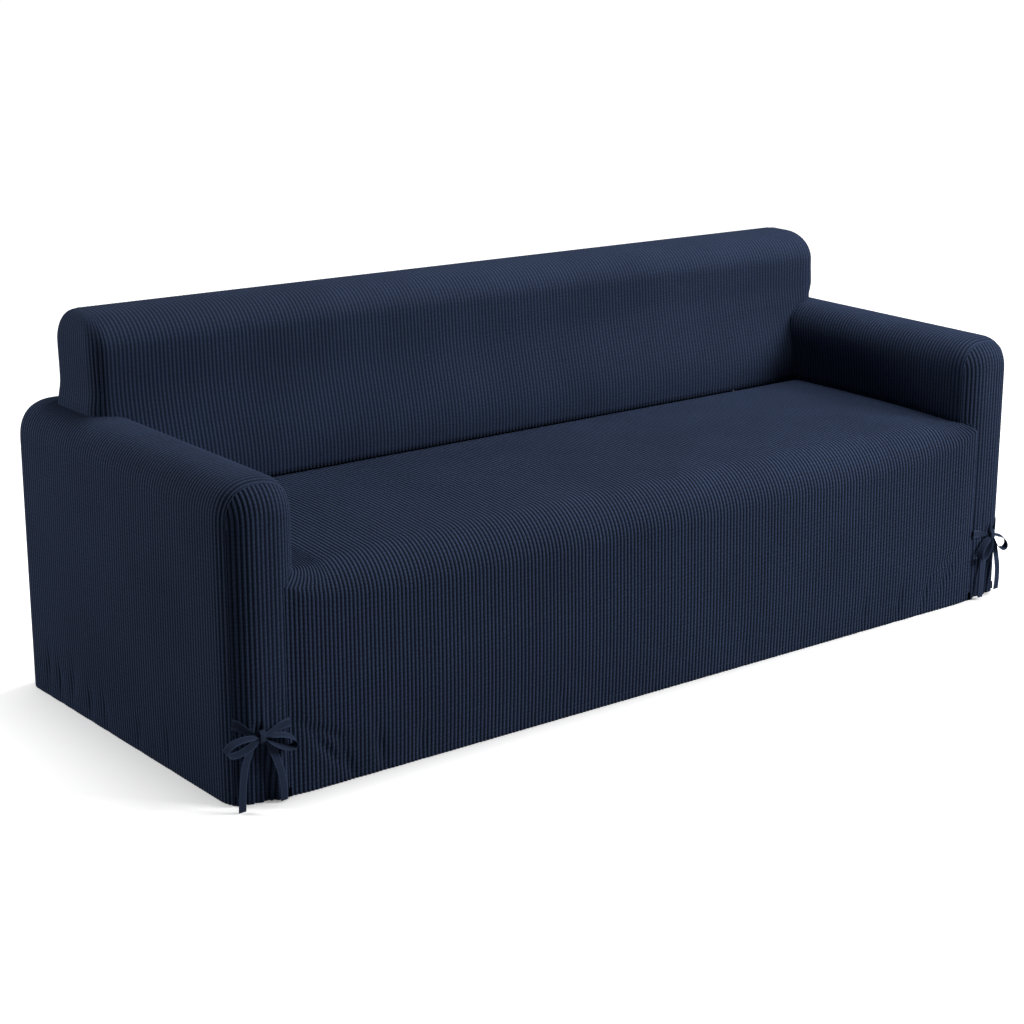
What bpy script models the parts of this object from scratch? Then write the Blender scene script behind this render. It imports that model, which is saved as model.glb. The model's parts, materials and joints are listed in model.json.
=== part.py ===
"""A fitted stretch sofa cover: hollow, open underneath, with a bow at each front corner."""

import math

import bmesh
import bpy
from mathutils import Vector

# Driving sizes, in metres
WIDTH = 2.18
DEPTH = 0.88
ARM_HEIGHT = 0.64
ARM_WIDTH = 0.162
BACK_HEIGHT = 0.83
BACK_WIDTH = 2.06
BACK_FRONT = 0.144
BACK_LEAN = 0.041
BACK_REAR = 0.375
SEAT_HEIGHT = 0.456
SHEET = 0.002
SEAM = 0.0004

# Roundings, over which the cloth is stretched
ARM_CROWN = 0.085
CROWN_CURVE = 2.5
ARM_FRONT_ROUND = 0.066
ARM_REAR_ROUND = 0.04
SEAM_SETBACK = 0.03
END_ROUND = 0.042
TOP_RISE = 0.072
TOP_FRONT_BEND = 0.09
TOP_REAR_BEND = 0.07
SEAT_ROLL = 0.095
SEAT_ROLL_AT_ARM = 0.035
ROLL_CURVE = 6
SKIRT_LAP = 0.044

# Softness: how far the cloth swells, falls or leans
SEAT_CROWN = 0.012
SEAT_FALL = 0.014
SEAT_TILT = 0.006
BACK_TILT = 0.01
BACK_SWELL = 0.008
SWELL_CURVE = 4
SKIRT_SWELL = 0.004
SIDE_SWELL = 0.004
REAR_LEAN_FROM = 0.38
REAR_CURVE = 12
REAR_LEDGE = 0.012
FRONT_LEAN_FROM = 0.47
FRONT_LEAN_TO = 0.70
LAP_EASE = 0.05
CORNER_RISE = 0.05

# How closely the solids follow the forms: columns over a width, rows up a height, parts of a bend
SEAT_COLUMNS = 28
SEAT_ROWS = 8
SKIRT_ROWS = 9
SKIRT_ROW_EASE = 0.8
COLUMN_EASE = 0.35
SIDE_ROWS = 8
SIDE_ROW_EASE = 1.25
BACK_COLUMNS = 20
BEND_PARTS = 6

# The pleat drawn in under each bow, and the small gathers above it
PLEAT_DEPTH = 0.013
PLEAT_AT_KNOT = 0.45
PLEAT_HALF_TOP = 0.010
PLEAT_HALF_HEM = 0.042
PLEAT_EDGE = 0.5
PLEAT_FOLD = 0.002
PLEAT_FOLD_PITCH = 0.02
GATHER_DEPTH = 0.0009
GATHER_PITCH = 0.026
GATHER_REACH = 0.043
GATHER_RISE = 0.03

# Ties: flat strips of the same cloth, drawn together in a knot
TIE_WIDTH = 0.017
TIE_AT_KNOT = 0.008
KNOT_HALF = (0.0036, 0.0075, 0.0135)
KNOT_GAP = 0.0004
KNOT_OUT = 0.0105
LOOP_OUT = 0.015
LOOP_START = 0.0020
LOOP_TURN = 65
ROOT_LIFT = 0.0022
ROOT_UP_AT_KNOT = 0.001
TAIL_AT_KNOT = 0.0056
# Where along a loop or tail its strip is full wide, or faces the viewer
LOOP_GROWS_BY = 1 / 3
TAIL_GROWS_BY = 0.25
TAIL_TURNS_BY = 0.1
TAIL_PARTS = (0.02, 0.06, 0.11, 0.18, 0.28, 0.42, 0.6, 0.8, 1)
LOOP_FROM = 22
LOOP_PARTS = 14
ROOT_PARTS = 7
# The most that the two sines of a loop's drop shape reach together
DROP_MOST = 0.77

# The cover's middle is moved this far, so that the origin is under the middle of its box
BODY_X = 0.0138
BODY_Y = 0.01175

HALF = WIDTH / 2
FRONT = -DEPTH / 2
REAR = DEPTH / 2
ARM_CENTRE = HALF - ARM_WIDTH / 2
ARM_INNER = HALF - ARM_WIDTH
SPRING = ARM_HEIGHT - ARM_CROWN
BACK_HALF = BACK_WIDTH / 2
BACK_FLAT = BACK_HALF - END_ROUND
BACK_SPRING = BACK_HEIGHT - TOP_RISE
SEAM_ANGLE = math.acos(1 - SEAM_SETBACK / ARM_FRONT_ROUND)
LAP_ANGLE = math.asin(1 - SKIRT_LAP / ARM_FRONT_ROUND)
BACK_REACH = (ARM_CENTRE - BACK_FLAT) / (ARM_WIDTH / 2)
NOTCH_ANGLE = math.pi - math.acos(BACK_REACH ** (CROWN_CURVE / 2))
SEAM_TURN = 4 * SEAM / ARM_WIDTH

# Puckers where the cloth is drawn up, a row each: the middle of the fold, its lean from
# upright in degrees, its half length, its half width and its depth
PUCKER = ("panel", "along", "up", "lean", "length", "width", "depth")
PUCKERS = (
    ("side_left", 0.335, 0.070, 8, 0.050, 0.012, 0.004),
    ("side_left", 0.285, 0.050, -6, 0.040, 0.011, 0.005),
    ("side_left", 0.225, 0.062, 10, 0.045, 0.013, 0.004),
    ("side_left", 0.150, 0.045, 4, 0.035, 0.012, 0.005),
    ("side_left", 0.085, 0.050, -9, 0.040, 0.013, 0.004),
    ("side_left", -0.060, 0.040, 6, 0.035, 0.012, 0.003),
    ("side_left", -0.180, 0.050, -5, 0.040, 0.012, 0.003),
    ("side_right", 0.240, 0.055, 7, 0.045, 0.012, 0.004),
    ("side_right", 0.110, 0.045, -6, 0.040, 0.012, 0.004),
    ("side_right", -0.070, 0.050, 5, 0.040, 0.012, 0.004),
    ("skirt", -0.890, 0.115, 62, 0.060, 0.010, 0.004),
    ("skirt", -0.885, 0.075, 40, 0.060, 0.010, 0.005),
    ("skirt", -0.840, 0.045, 24, 0.045, 0.011, 0.004),
    ("skirt", -0.760, 0.050, 12, 0.045, 0.013, 0.004),
    ("skirt", -0.660, 0.040, -6, 0.035, 0.013, 0.003),
    ("skirt", -0.300, 0.035, 8, 0.030, 0.013, 0.002),
    ("skirt", 0.220, 0.035, -7, 0.030, 0.013, 0.002),
    ("skirt", 0.600, 0.040, -10, 0.035, 0.013, 0.003),
    ("skirt", 0.720, 0.045, -14, 0.040, 0.012, 0.004),
    ("skirt", 0.810, 0.050, -26, 0.045, 0.011, 0.005),
    ("skirt", 0.880, 0.080, -42, 0.060, 0.010, 0.005),
    ("skirt", 0.890, 0.125, -64, 0.060, 0.010, 0.004),
)

# Each bow's knot: how far in from the cover's side, and its height
KNOTS = {"left": (0.050, 0.146), "right": (0.064, 0.160)}

# The ties, a row each. Loop: length, half height, droop in degrees. Tail: how far it ends to the
# side, how far down, and how sharply it bends. Root: how high above the knot it is sewn on, and width
TIE = ("bow", "edge", "loop", "loop_half", "droop", "tail_side", "tail_drop", "tail_bend", "root_up",
       "root_width")
TIES = (
    ("left", "outer", 0.080, 0.0125, 10, 0.0430, 0.1445, 3.5, 0.022, 0.023),
    ("left", "inner", 0.078, 0.0120, 23, 0.0430, 0.1430, 2.4, 0.010, 0.021),
    ("right", "inner", 0.064, 0.0120, 56, 0.0240, 0.1540, 2.2, 0.008, 0.021),
    ("right", "outer", 0.060, 0.0130, 38, 0.0260, 0.1440, 3.0, 0.018, 0.023),
)


def clamp(value, low=0.0, high=1.0):
    return max(low, min(high, value))


def ease(value):
    value = clamp(value)
    return value * value * (3 - 2 * value)


def mix(low, high, part):
    return low + (high - low) * part


def steps(low, high, count):
    """Count equal steps from low to high, both ends included."""
    return [mix(low, high, i / count) for i in range(count + 1)]


def power(value, exponent):
    return math.copysign(abs(value) ** exponent, value)


def pucker(panel, along, up):
    """How deep the puckers of a panel draw its cloth in at one point."""
    depth = 0.0
    for row in PUCKERS:
        fold = dict(zip(PUCKER, row))
        if fold["panel"] != panel:
            continue
        lean = math.radians(fold["lean"])
        right = along - fold["along"]
        rise = up - fold["up"]
        across = right * math.cos(lean) + rise * math.sin(lean)
        down = rise * math.cos(lean) - right * math.sin(lean)
        shape = (across / fold["width"]) ** 2 + (down / fold["length"]) ** 2
        depth += fold["depth"] * math.exp(-shape)
    return depth


# Forms of the stretched cloth

def front_round(angle):
    """An arm's front edge, 0 facing forwards and 90 degrees facing sideways: set back, inset."""
    return ARM_FRONT_ROUND * (1 - math.cos(angle)), ARM_FRONT_ROUND * (1 - math.sin(angle))


def rear_round(angle):
    return ARM_REAR_ROUND * (1 - math.cos(angle)), ARM_REAR_ROUND * (1 - math.sin(angle))


def front_angle(setback):
    """The angle on an arm's front edge this far behind its front."""
    return math.acos(clamp(1 - setback / ARM_FRONT_ROUND, -1, 1))


def crown(angle, inset):
    """An arm's rounded top, 0 at its outer side: distance from the arm's middle, and height."""
    across = -(ARM_WIDTH / 2 - inset) * power(math.cos(angle), 2 / CROWN_CURVE)
    return across, SPRING + (ARM_CROWN - inset) * power(math.sin(angle), 2 / CROWN_CURVE)


def crown_angle(across):
    """The angle on the crown at a distance from the arm's middle."""
    share = clamp(-across / (ARM_WIDTH / 2), -1, 1)
    return math.acos(power(share, CROWN_CURVE / 2))


def seat_height(spread, y):
    """Height of the seat's cloth, where spread runs from -1 at the left arm to 1 at the right."""
    along = (BACK_FRONT - y) / (BACK_FRONT - FRONT)
    swell = SEAT_CROWN * math.sin(math.pi * clamp(along)) * (1 - spread ** SWELL_CURVE)
    return SEAT_HEIGHT + swell - SEAT_FALL * along ** 3 - SEAT_TILT * spread * (1 - along)


def seat_roll(spread):
    return mix(SEAT_ROLL, SEAT_ROLL_AT_ARM, spread ** ROLL_CURVE)


def roll_point(spread, angle):
    """The seat's front edge, 0 on top and 90 degrees facing forwards: y and z."""
    radius = seat_roll(spread)
    top = seat_height(spread, FRONT + radius)
    return FRONT + radius * (1 - math.sin(angle)), top - radius * (1 - math.cos(angle))


def seat_edge(y):
    """Half the seat's width at y, where it follows the arm's rounded front inwards."""
    setback = y - FRONT
    if setback >= ARM_FRONT_ROUND:
        return ARM_INNER
    inset = front_round(front_angle(max(setback, 0)))[1]
    return ARM_INNER + min(inset, SKIRT_LAP)


def lap_edge(x, y):
    """Sets the seat's cloth back beside an arm, to meet the arm's rounded front."""
    near = 1 - ease((ARM_INNER + SKIRT_LAP - abs(x)) / LAP_EASE)
    return max(y, FRONT + front_round(LAP_ANGLE)[0] * near)


def back_front(z):
    """How far back the front of the back stands at a height: it leans back over the arms."""
    return BACK_FRONT + BACK_LEAN * ease((z - FRONT_LEAN_FROM) / (FRONT_LEAN_TO - FRONT_LEAN_FROM))


def end_plan():
    """A rounded end of the back from above, from its front to its rear: out, and share of the depth."""
    deep = BACK_REAR - FOOT_FRONT
    bend = [(END_ROUND * math.sin(a), END_ROUND * (1 - math.cos(a)) / deep) for a in CORNER_ANGLES]
    return bend + [(END_ROUND, 0.5)] + [(out, 1 - share) for out, share in reversed(bend)]


ROLL_ANGLES = steps(0, math.pi / 2, BEND_PARTS)
CROWN_OUTER = steps(0, NOTCH_ANGLE, 8)
CROWN_INNER = steps(NOTCH_ANGLE, math.pi, 4)
CORNER_ANGLES = [math.radians(a) for a in (0, 5, 26, 47, 68, 90)]
REAR_ANGLES = [math.radians(a) for a in (90, 68, 47, 26, 5, 0)]
FOOT_FRONT = back_front(crown(NOTCH_ANGLE, 0)[1])


# Building tools

def new_collection(name):
    made = bpy.data.collections.new(name)
    bpy.context.scene.collection.children.link(made)
    return made


def cloth_material(name, colour):
    made = bpy.data.materials.new(name)
    made.use_nodes = True
    shader = made.node_tree.nodes["Principled BSDF"]
    shader.inputs["Base Color"].default_value = (*colour, 1)
    shader.inputs["Roughness"].default_value = 0.9
    shader.inputs["Metallic"].default_value = 0.0
    return made


def add_grid(bm, rows):
    """Faces between rows of points. None marks a place where the cloth is cut away."""
    verts = [[None if p is None else bm.verts.new(p) for p in row] for row in rows]
    for low, high in zip(verts, verts[1:]):
        for i in range(len(low) - 1):
            corners = (low[i], low[i + 1], high[i + 1], high[i])
            if None not in corners:
                bm.faces.new(corners)


def cloth(name, grids, within, material, home):
    """One panel: its grids sewn into one open surface, thickened inwards, towards a point within."""
    bm = bmesh.new()
    for rows in grids:
        add_grid(bm, rows)
    bmesh.ops.remove_doubles(bm, verts=bm.verts[:], dist=1e-6)
    loose = [v for v in bm.verts if not v.link_faces]
    bmesh.ops.delete(bm, geom=loose, context="VERTS")
    bmesh.ops.translate(bm, verts=bm.verts[:], vec=Vector((BODY_X, BODY_Y, 0)))
    bmesh.ops.recalc_face_normals(bm, faces=bm.faces[:])
    middle = within + Vector((BODY_X, BODY_Y, 0))
    facing = sum(f.calc_area() * f.normal.dot(f.calc_center_median() - middle) for f in bm.faces)
    if facing < 0:
        bmesh.ops.reverse_faces(bm, faces=bm.faces[:])
    mesh = bpy.data.meshes.new(name)
    bm.to_mesh(mesh)
    bm.free()
    mesh.shade_smooth()
    mesh.materials.append(material)
    obj = bpy.data.objects.new(name, mesh)
    home.objects.link(obj)
    wall = obj.modifiers.new("cloth", "SOLIDIFY")
    wall.thickness = SHEET
    wall.offset = -1
    wall.use_even_offset = True
    return obj


# The panels

def seat_and_skirt(material, home):
    """Seat, rolled front edge and skirt in one piece of cloth."""
    spreads = [mix(s, math.sin(math.pi / 2 * s), COLUMN_EASE) for s in steps(-1, 1, SEAT_COLUMNS)]

    def seat_point(spread, part):
        y = mix(BACK_FRONT - SEAM, FRONT + seat_roll(spread), part)
        return y, seat_height(spread, y)

    def skirt_point(x, spread, part):
        top = roll_point(spread, math.pi / 2)[1]
        z = top * (1 - part ** SKIRT_ROW_EASE)
        swell = SKIRT_SWELL * math.sin(math.pi * part) * (1 - spread ** SWELL_CURVE)
        return lap_edge(x, FRONT) - swell + pucker("skirt", x, z), z

    rows = []
    for part in steps(0, 1, SEAT_ROWS):
        row = []
        for spread in spreads:
            y, z = seat_point(spread, part)
            row.append(Vector((spread * (seat_edge(y) - SEAM), y, z)))
        rows.append(row)
    for angle in ROLL_ANGLES[1:]:
        row = []
        for spread in spreads:
            y, z = roll_point(spread, angle)
            x = spread * (seat_edge(y) - SEAM)
            row.append(Vector((x, lap_edge(x, y), z)))
        rows.append(row)
    for part in steps(0, 1, SKIRT_ROWS)[1:]:
        row = []
        for spread in spreads:
            x = spread * (ARM_INNER + SKIRT_LAP - SEAM)
            y, z = skirt_point(x, spread, part)
            row.append(Vector((x, y, z)))
        rows.append(row)
    return cloth("seat_and_skirt", [rows], Vector((0, 0, 0)), material, home)


def arm_panel(name, side, material, home):
    """Outer side, rounded top and inner side of an arm, cut away where the back stands."""
    start = FRONT + ARM_FRONT_ROUND
    meet = FOOT_FRONT - SEAM
    stations = [(FRONT + front_round(a)[0], front_round(a)[1]) for a in steps(SEAM_ANGLE, math.pi / 2, 3)]
    stations += [(y, 0.0) for y in steps(start, meet, 6)[1:]]
    first_behind = len(stations)
    outs = {}
    for out, share in end_plan()[1:]:
        outs[len(stations)] = out
        stations.append((mix(FOOT_FRONT, BACK_REAR, share), 0.0))
    stations += [(REAR - rear_round(a)[0], rear_round(a)[1]) for a in REAR_ANGLES]
    stations[0] = (stations[0][0] + SEAM, stations[0][1])

    def leaned(y, z):
        """On the inner side, the cloth reaches back as far as the leaning back stands."""
        return mix(start, back_front(z) - SEAM, (y - start) / (meet - start)) if y > start else y

    rows = []
    for number, (y, inset) in enumerate(stations):
        row = []
        for part in steps(0, 1, SIDE_ROWS)[:-1]:
            z = SPRING * part ** SIDE_ROW_EASE
            swell = SIDE_SWELL * math.sin(math.pi * part) * math.sin(math.pi * clamp((y - FRONT) / DEPTH))
            out = swell - pucker(name.replace("arm", "side"), y, z)
            row.append(Vector((side * (HALF - inset + out), y, z)))
        limit = crown_angle(ARM_CENTRE - BACK_FLAT - outs.get(number, 0.0))
        gap = SEAM_TURN if number >= first_behind else 0
        for angle in CROWN_OUTER:
            across, z = crown(angle / NOTCH_ANGLE * (limit - gap), inset)
            row.append(Vector((side * (ARM_CENTRE - across), y, z)))
        if number < first_behind:
            for angle in CROWN_INNER[1:]:
                across, z = crown(angle, inset)
                row.append(Vector((side * (ARM_CENTRE - across), leaned(y, z), z)))
            foot = seat_height(side, leaned(y, SEAT_HEIGHT)) + SEAM
            for z in steps(SPRING, foot, 3)[1:]:
                row.append(Vector((side * (ARM_INNER + inset), leaned(y, z), z)))
        else:
            row += [None] * (len(CROWN_INNER) + 2)
        rows.append(row)
    return cloth(name, [rows], Vector((side * ARM_CENTRE, 0, SPRING / 2)), material, home)


def pleat(x, z):
    """How far an arm front is drawn in behind the tails: an upside-down V, opening to the hem."""
    knot_in, knot_up = KNOTS["left" if x < 0 else "right"]
    drop = clamp((knot_up - z) / knot_up)
    off = abs(x) - (HALF - knot_in)
    half = mix(PLEAT_HALF_TOP, PLEAT_HALF_HEM, drop)
    inside = ease((1 - abs(off) / half) / PLEAT_EDGE + PLEAT_EDGE / 2)
    inside *= 1 - ease((z - knot_up) / GATHER_RISE)
    fold = PLEAT_FOLD * math.cos(2 * math.pi * off / PLEAT_FOLD_PITCH) * drop
    near = math.exp(-(((z - knot_up - GATHER_RISE) / GATHER_REACH) ** 2))
    gather = GATHER_DEPTH * (1 + math.cos(2 * math.pi * off / GATHER_PITCH)) * near
    return PLEAT_DEPTH * inside * mix(PLEAT_AT_KNOT, 1, math.sqrt(drop)) + fold * inside + gather


def arm_front(name, side, material, home):
    """The rounded front of an arm, with the pleat drawn in under its bow."""
    outer = steps(SEAM_ANGLE, 0, 5)

    def inner_limit(z):
        """Where the panel ends on its inner side: at the skirt below, at the arm panel above."""
        roll_top = roll_point(side, 0)[1]
        roll_foot = roll_point(side, math.pi / 2)[1]
        if z >= roll_top:
            return SEAM_ANGLE
        if z <= roll_foot:
            return LAP_ANGLE
        radius = seat_roll(side)
        turn = math.acos(clamp(1 - (roll_top - z) / radius))
        return clamp(front_angle(radius * (1 - math.sin(turn))), LAP_ANGLE, SEAM_ANGLE)

    def place(across, setback, z):
        x = ARM_CENTRE - across
        drawn = pleat(side * x, z) * (1 - ease(setback / SEAM_SETBACK))
        return Vector((side * x, FRONT + setback + drawn, z))

    flat = ARM_WIDTH / 2 - ARM_FRONT_ROUND
    gap = SEAM / ARM_FRONT_ROUND
    knot_up = KNOTS["left" if side < 0 else "right"][1]
    heights = steps(0, knot_up, 6)
    heights += steps(knot_up, roll_point(side, math.pi / 2)[1], 4)[1:]
    heights += [roll_point(side, a)[1] for a in reversed(ROLL_ANGLES[:-1])]
    heights += steps(roll_point(side, 0)[1], SPRING, 2)[1:]
    body = []
    for z in heights:
        row = []
        for angle in outer:
            setback, inset = front_round(min(angle, SEAM_ANGLE - gap))
            row.append(place(inset - ARM_WIDTH / 2, setback, z))
        row += [place(across, 0, z) for across in steps(-flat, flat, 4)[1:-1]]
        limit = inner_limit(z)
        for angle in steps(0, limit, 5):
            setback, inset = front_round(min(angle, limit - gap))
            row.append(place(ARM_WIDTH / 2 - inset, setback, z))
        body.append(row)
    top = []
    for angle in CROWN_OUTER + CROWN_INNER[1:]:
        row = []
        for turn in outer:
            setback, inset = front_round(min(turn, SEAM_ANGLE - gap))
            across, z = crown(angle, inset)
            row.append(place(across, setback, z))
        edge_across, edge_z = crown(angle, ARM_FRONT_ROUND)
        row.append(place(edge_across / 2, 0, mix(SPRING, edge_z, 0.5)))
        row.append(place(0, 0, SPRING))
        top.append(row)
    return cloth(name, [body, top], Vector((side * ARM_CENTRE, 0, SPRING / 2)), material, home)


def back_top(x):
    """Height of the back at x: the cloth sits a little higher at the left."""
    return BACK_HEIGHT - BACK_TILT * x / BACK_HALF


def inside_back(material, home):
    """Front of the backrest, round both ends and over the top to the rear seam."""
    top_front = back_front(BACK_SPRING) + TOP_FRONT_BEND
    top_rear = BACK_REAR - TOP_REAR_BEND
    spreads = steps(-1, 1, BACK_COLUMNS)
    lower = [seat_height(0, BACK_FRONT)] + steps(SEAT_HEIGHT, SPRING, 2)[1:]
    rim = [crown(a, 0) for a in reversed(CROWN_INNER)]
    upper = steps(rim[-1][1], BACK_SPRING, 4)[1:]

    def lift(x, z):
        """Stretches the upright part to the uneven top line."""
        share = ease((z - ARM_HEIGHT) / (BACK_SPRING - ARM_HEIGHT))
        return z + (back_top(x) - BACK_HEIGHT) * share

    def swell(spread, z):
        rise = clamp((z - SEAT_HEIGHT) / (BACK_SPRING - SEAT_HEIGHT))
        return BACK_SWELL * math.sin(math.pi * rise) * (1 - spread ** SWELL_CURVE)

    def front_point(spread, half, z):
        x = spread * half
        return Vector((x, back_front(z) - swell(spread, z), lift(x, z)))

    front = []
    for z in lower:
        half = ARM_INNER - SEAM
        foot = seat_height(0, BACK_FRONT)
        row = []
        for spread in spreads:
            rest = seat_height(spread, BACK_FRONT) + SEAM if z == foot else z
            row.append(front_point(spread, half, rest))
        front.append(row)
    for across, z in rim[1:]:
        half = ARM_CENTRE - across - SEAM
        front.append([front_point(spread, half, z) for spread in spreads])
    corner_half = ARM_CENTRE - rim[-1][0] - SEAM
    for z in upper:
        half = mix(corner_half, BACK_FLAT, ease((z - rim[-1][1]) / CORNER_RISE))
        front.append([front_point(spread, half, z) for spread in spreads])

    def end_grid(side):
        rows = []
        base = rim[-1][1]
        for out, share in end_plan():
            foot = crown(crown_angle(ARM_CENTRE - BACK_FLAT - out), 0)[1] + SEAM * ease(out / SHEET)
            row = []
            for z in [base] + upper:
                z_here = mix(foot, BACK_SPRING, (z - base) / (BACK_SPRING - base))
                half = mix(corner_half, BACK_FLAT, max(clamp(out / SHEET), ease((z - base) / CORNER_RISE)))
                x = side * (half + out)
                row.append(Vector((x, mix(back_front(z), BACK_REAR, share), lift(x, z_here))))
            y = row[-1].y
            middle = clamp(y, top_front, top_rear)
            for angle in CORNER_ANGLES[1:]:
                scale = math.cos(angle)
                rise = TOP_RISE * math.sin(angle)
                x = side * (BACK_FLAT + out * scale)
                row.append(Vector((x, middle + (y - middle) * scale, lift(x, BACK_SPRING) + rise)))
            rows.append(row)
        return rows

    def bend(y_middle, reach):
        """A rounded top edge over the flat width, reaching forwards or back."""
        rows = []
        for angle in CORNER_ANGLES:
            y = y_middle + reach * math.cos(angle)
            rise = TOP_RISE * math.sin(angle)
            row = []
            for spread in spreads:
                x = spread * BACK_FLAT
                row.append(Vector((x, y, lift(x, BACK_SPRING) + rise)))
            rows.append(row)
        return rows

    crest = mix(back_front(BACK_SPRING), BACK_REAR, 0.5)
    across = [spread * BACK_FLAT for spread in spreads]
    top = [Vector((x, crest, lift(x, BACK_SPRING) + TOP_RISE)) for x in across]
    rear = bend(top_rear, TOP_REAR_BEND)
    rear.reverse()
    left = end_grid(-1)
    left.reverse()
    grids = [front + bend(top_front, -TOP_FRONT_BEND)[1:] + [top] + rear, left, end_grid(1)]
    within = Vector((0, (BACK_FRONT + BACK_REAR) / 2, ARM_HEIGHT))
    return cloth("inside_back", grids, within, material, home)


def outside_back(material, home):
    """The rear: wide below, up to the arms, and as wide as the back above them."""
    spreads = steps(-1, 1, BACK_COLUMNS)
    edge = [(rear_round(a)[0], crown(NOTCH_ANGLE, rear_round(a)[1] + SEAM)) for a in reversed(REAR_ANGLES)]
    low_half = ARM_CENTRE - edge[0][1][0] - SEAM
    low_top = edge[0][1][1]

    def lean(spread, z, y_edge):
        """The stretched cloth leans gently between its side edges, which follow the arms' ends."""
        top = BACK_SPRING
        leaning = mix(REAR, BACK_REAR, ease((z - REAR_LEAN_FROM) / (top - REAR_LEAN_FROM)))
        return mix(leaning, y_edge, spread ** REAR_CURVE)

    rows = []
    for part in steps(0, 1, 5):
        z = low_top * part
        row = []
        for angle in CROWN_OUTER[:-1]:
            across, top = crown(angle, ARM_REAR_ROUND + SEAM)
            row.append(Vector((-(ARM_CENTRE - across), REAR, top * part)))
        row += [Vector((s * low_half, lean(s, z, REAR), z)) for s in spreads]
        for angle in reversed(CROWN_OUTER[:-1]):
            across, top = crown(angle, ARM_REAR_ROUND + SEAM)
            row.append(Vector((ARM_CENTRE - across, REAR, top * part)))
        rows.append(row)
    sides = [None] * (len(CROWN_OUTER) - 1)
    for setback, (across, z) in edge[1:]:
        half = ARM_CENTRE - across - SEAM
        row = [Vector((s * half, lean(s, z, REAR - setback), z)) for s in spreads]
        rows.append(sides + row + sides)
    base = edge[-1][1][1]
    half = BACK_FLAT - SEAM
    ledge = [mix(base + REAR_LEDGE, base, s ** REAR_CURVE) for s in spreads]
    rows.append(sides + [Vector((s * half, lean(s, z, BACK_REAR), z)) for s, z in zip(spreads, ledge)] + sides)
    for z in steps(base, BACK_SPRING - SEAM, 3)[1:]:
        share = (z - base) / (BACK_SPRING - base)
        row = []
        for spread in spreads:
            x = spread * half
            tilt = (back_top(x) - BACK_HEIGHT) * ease((z - ARM_HEIGHT) / (BACK_SPRING - ARM_HEIGHT))
            row.append(Vector((x, lean(spread, z, BACK_REAR), z + tilt * ease(share))))
        rows.append(sides + row + sides)
    return cloth("outside_back", [rows], Vector((0, 0, SPRING / 2)), material, home)


# The ties

def strip_mesh(name, stations):
    """A flat strip along stations, each a middle, a direction across its flat face, and a width."""
    bm = bmesh.new()
    rings = []
    for i, (middle, across, width) in enumerate(stations):
        ahead = stations[min(i + 1, len(stations) - 1)][0] - stations[max(i - 1, 0)][0]
        across = (across - ahead.normalized() * across.dot(ahead.normalized())).normalized()
        through = ahead.normalized().cross(across) * (SHEET / 2)
        side = across * (width / 2)
        corners = (side + through, side - through, -side - through, -side + through)
        rings.append([bm.verts.new(middle + corner) for corner in corners])
    for low, high in zip(rings, rings[1:]):
        for i in range(len(low)):
            j = (i + 1) % len(low)
            bm.faces.new((low[i], low[j], high[j], high[i]))
    bm.faces.new(rings[0][::-1])
    bm.faces.new(rings[-1])
    bmesh.ops.recalc_face_normals(bm, faces=bm.faces[:])
    mesh = bpy.data.meshes.new(name)
    bm.to_mesh(mesh)
    bm.free()
    return mesh


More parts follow.
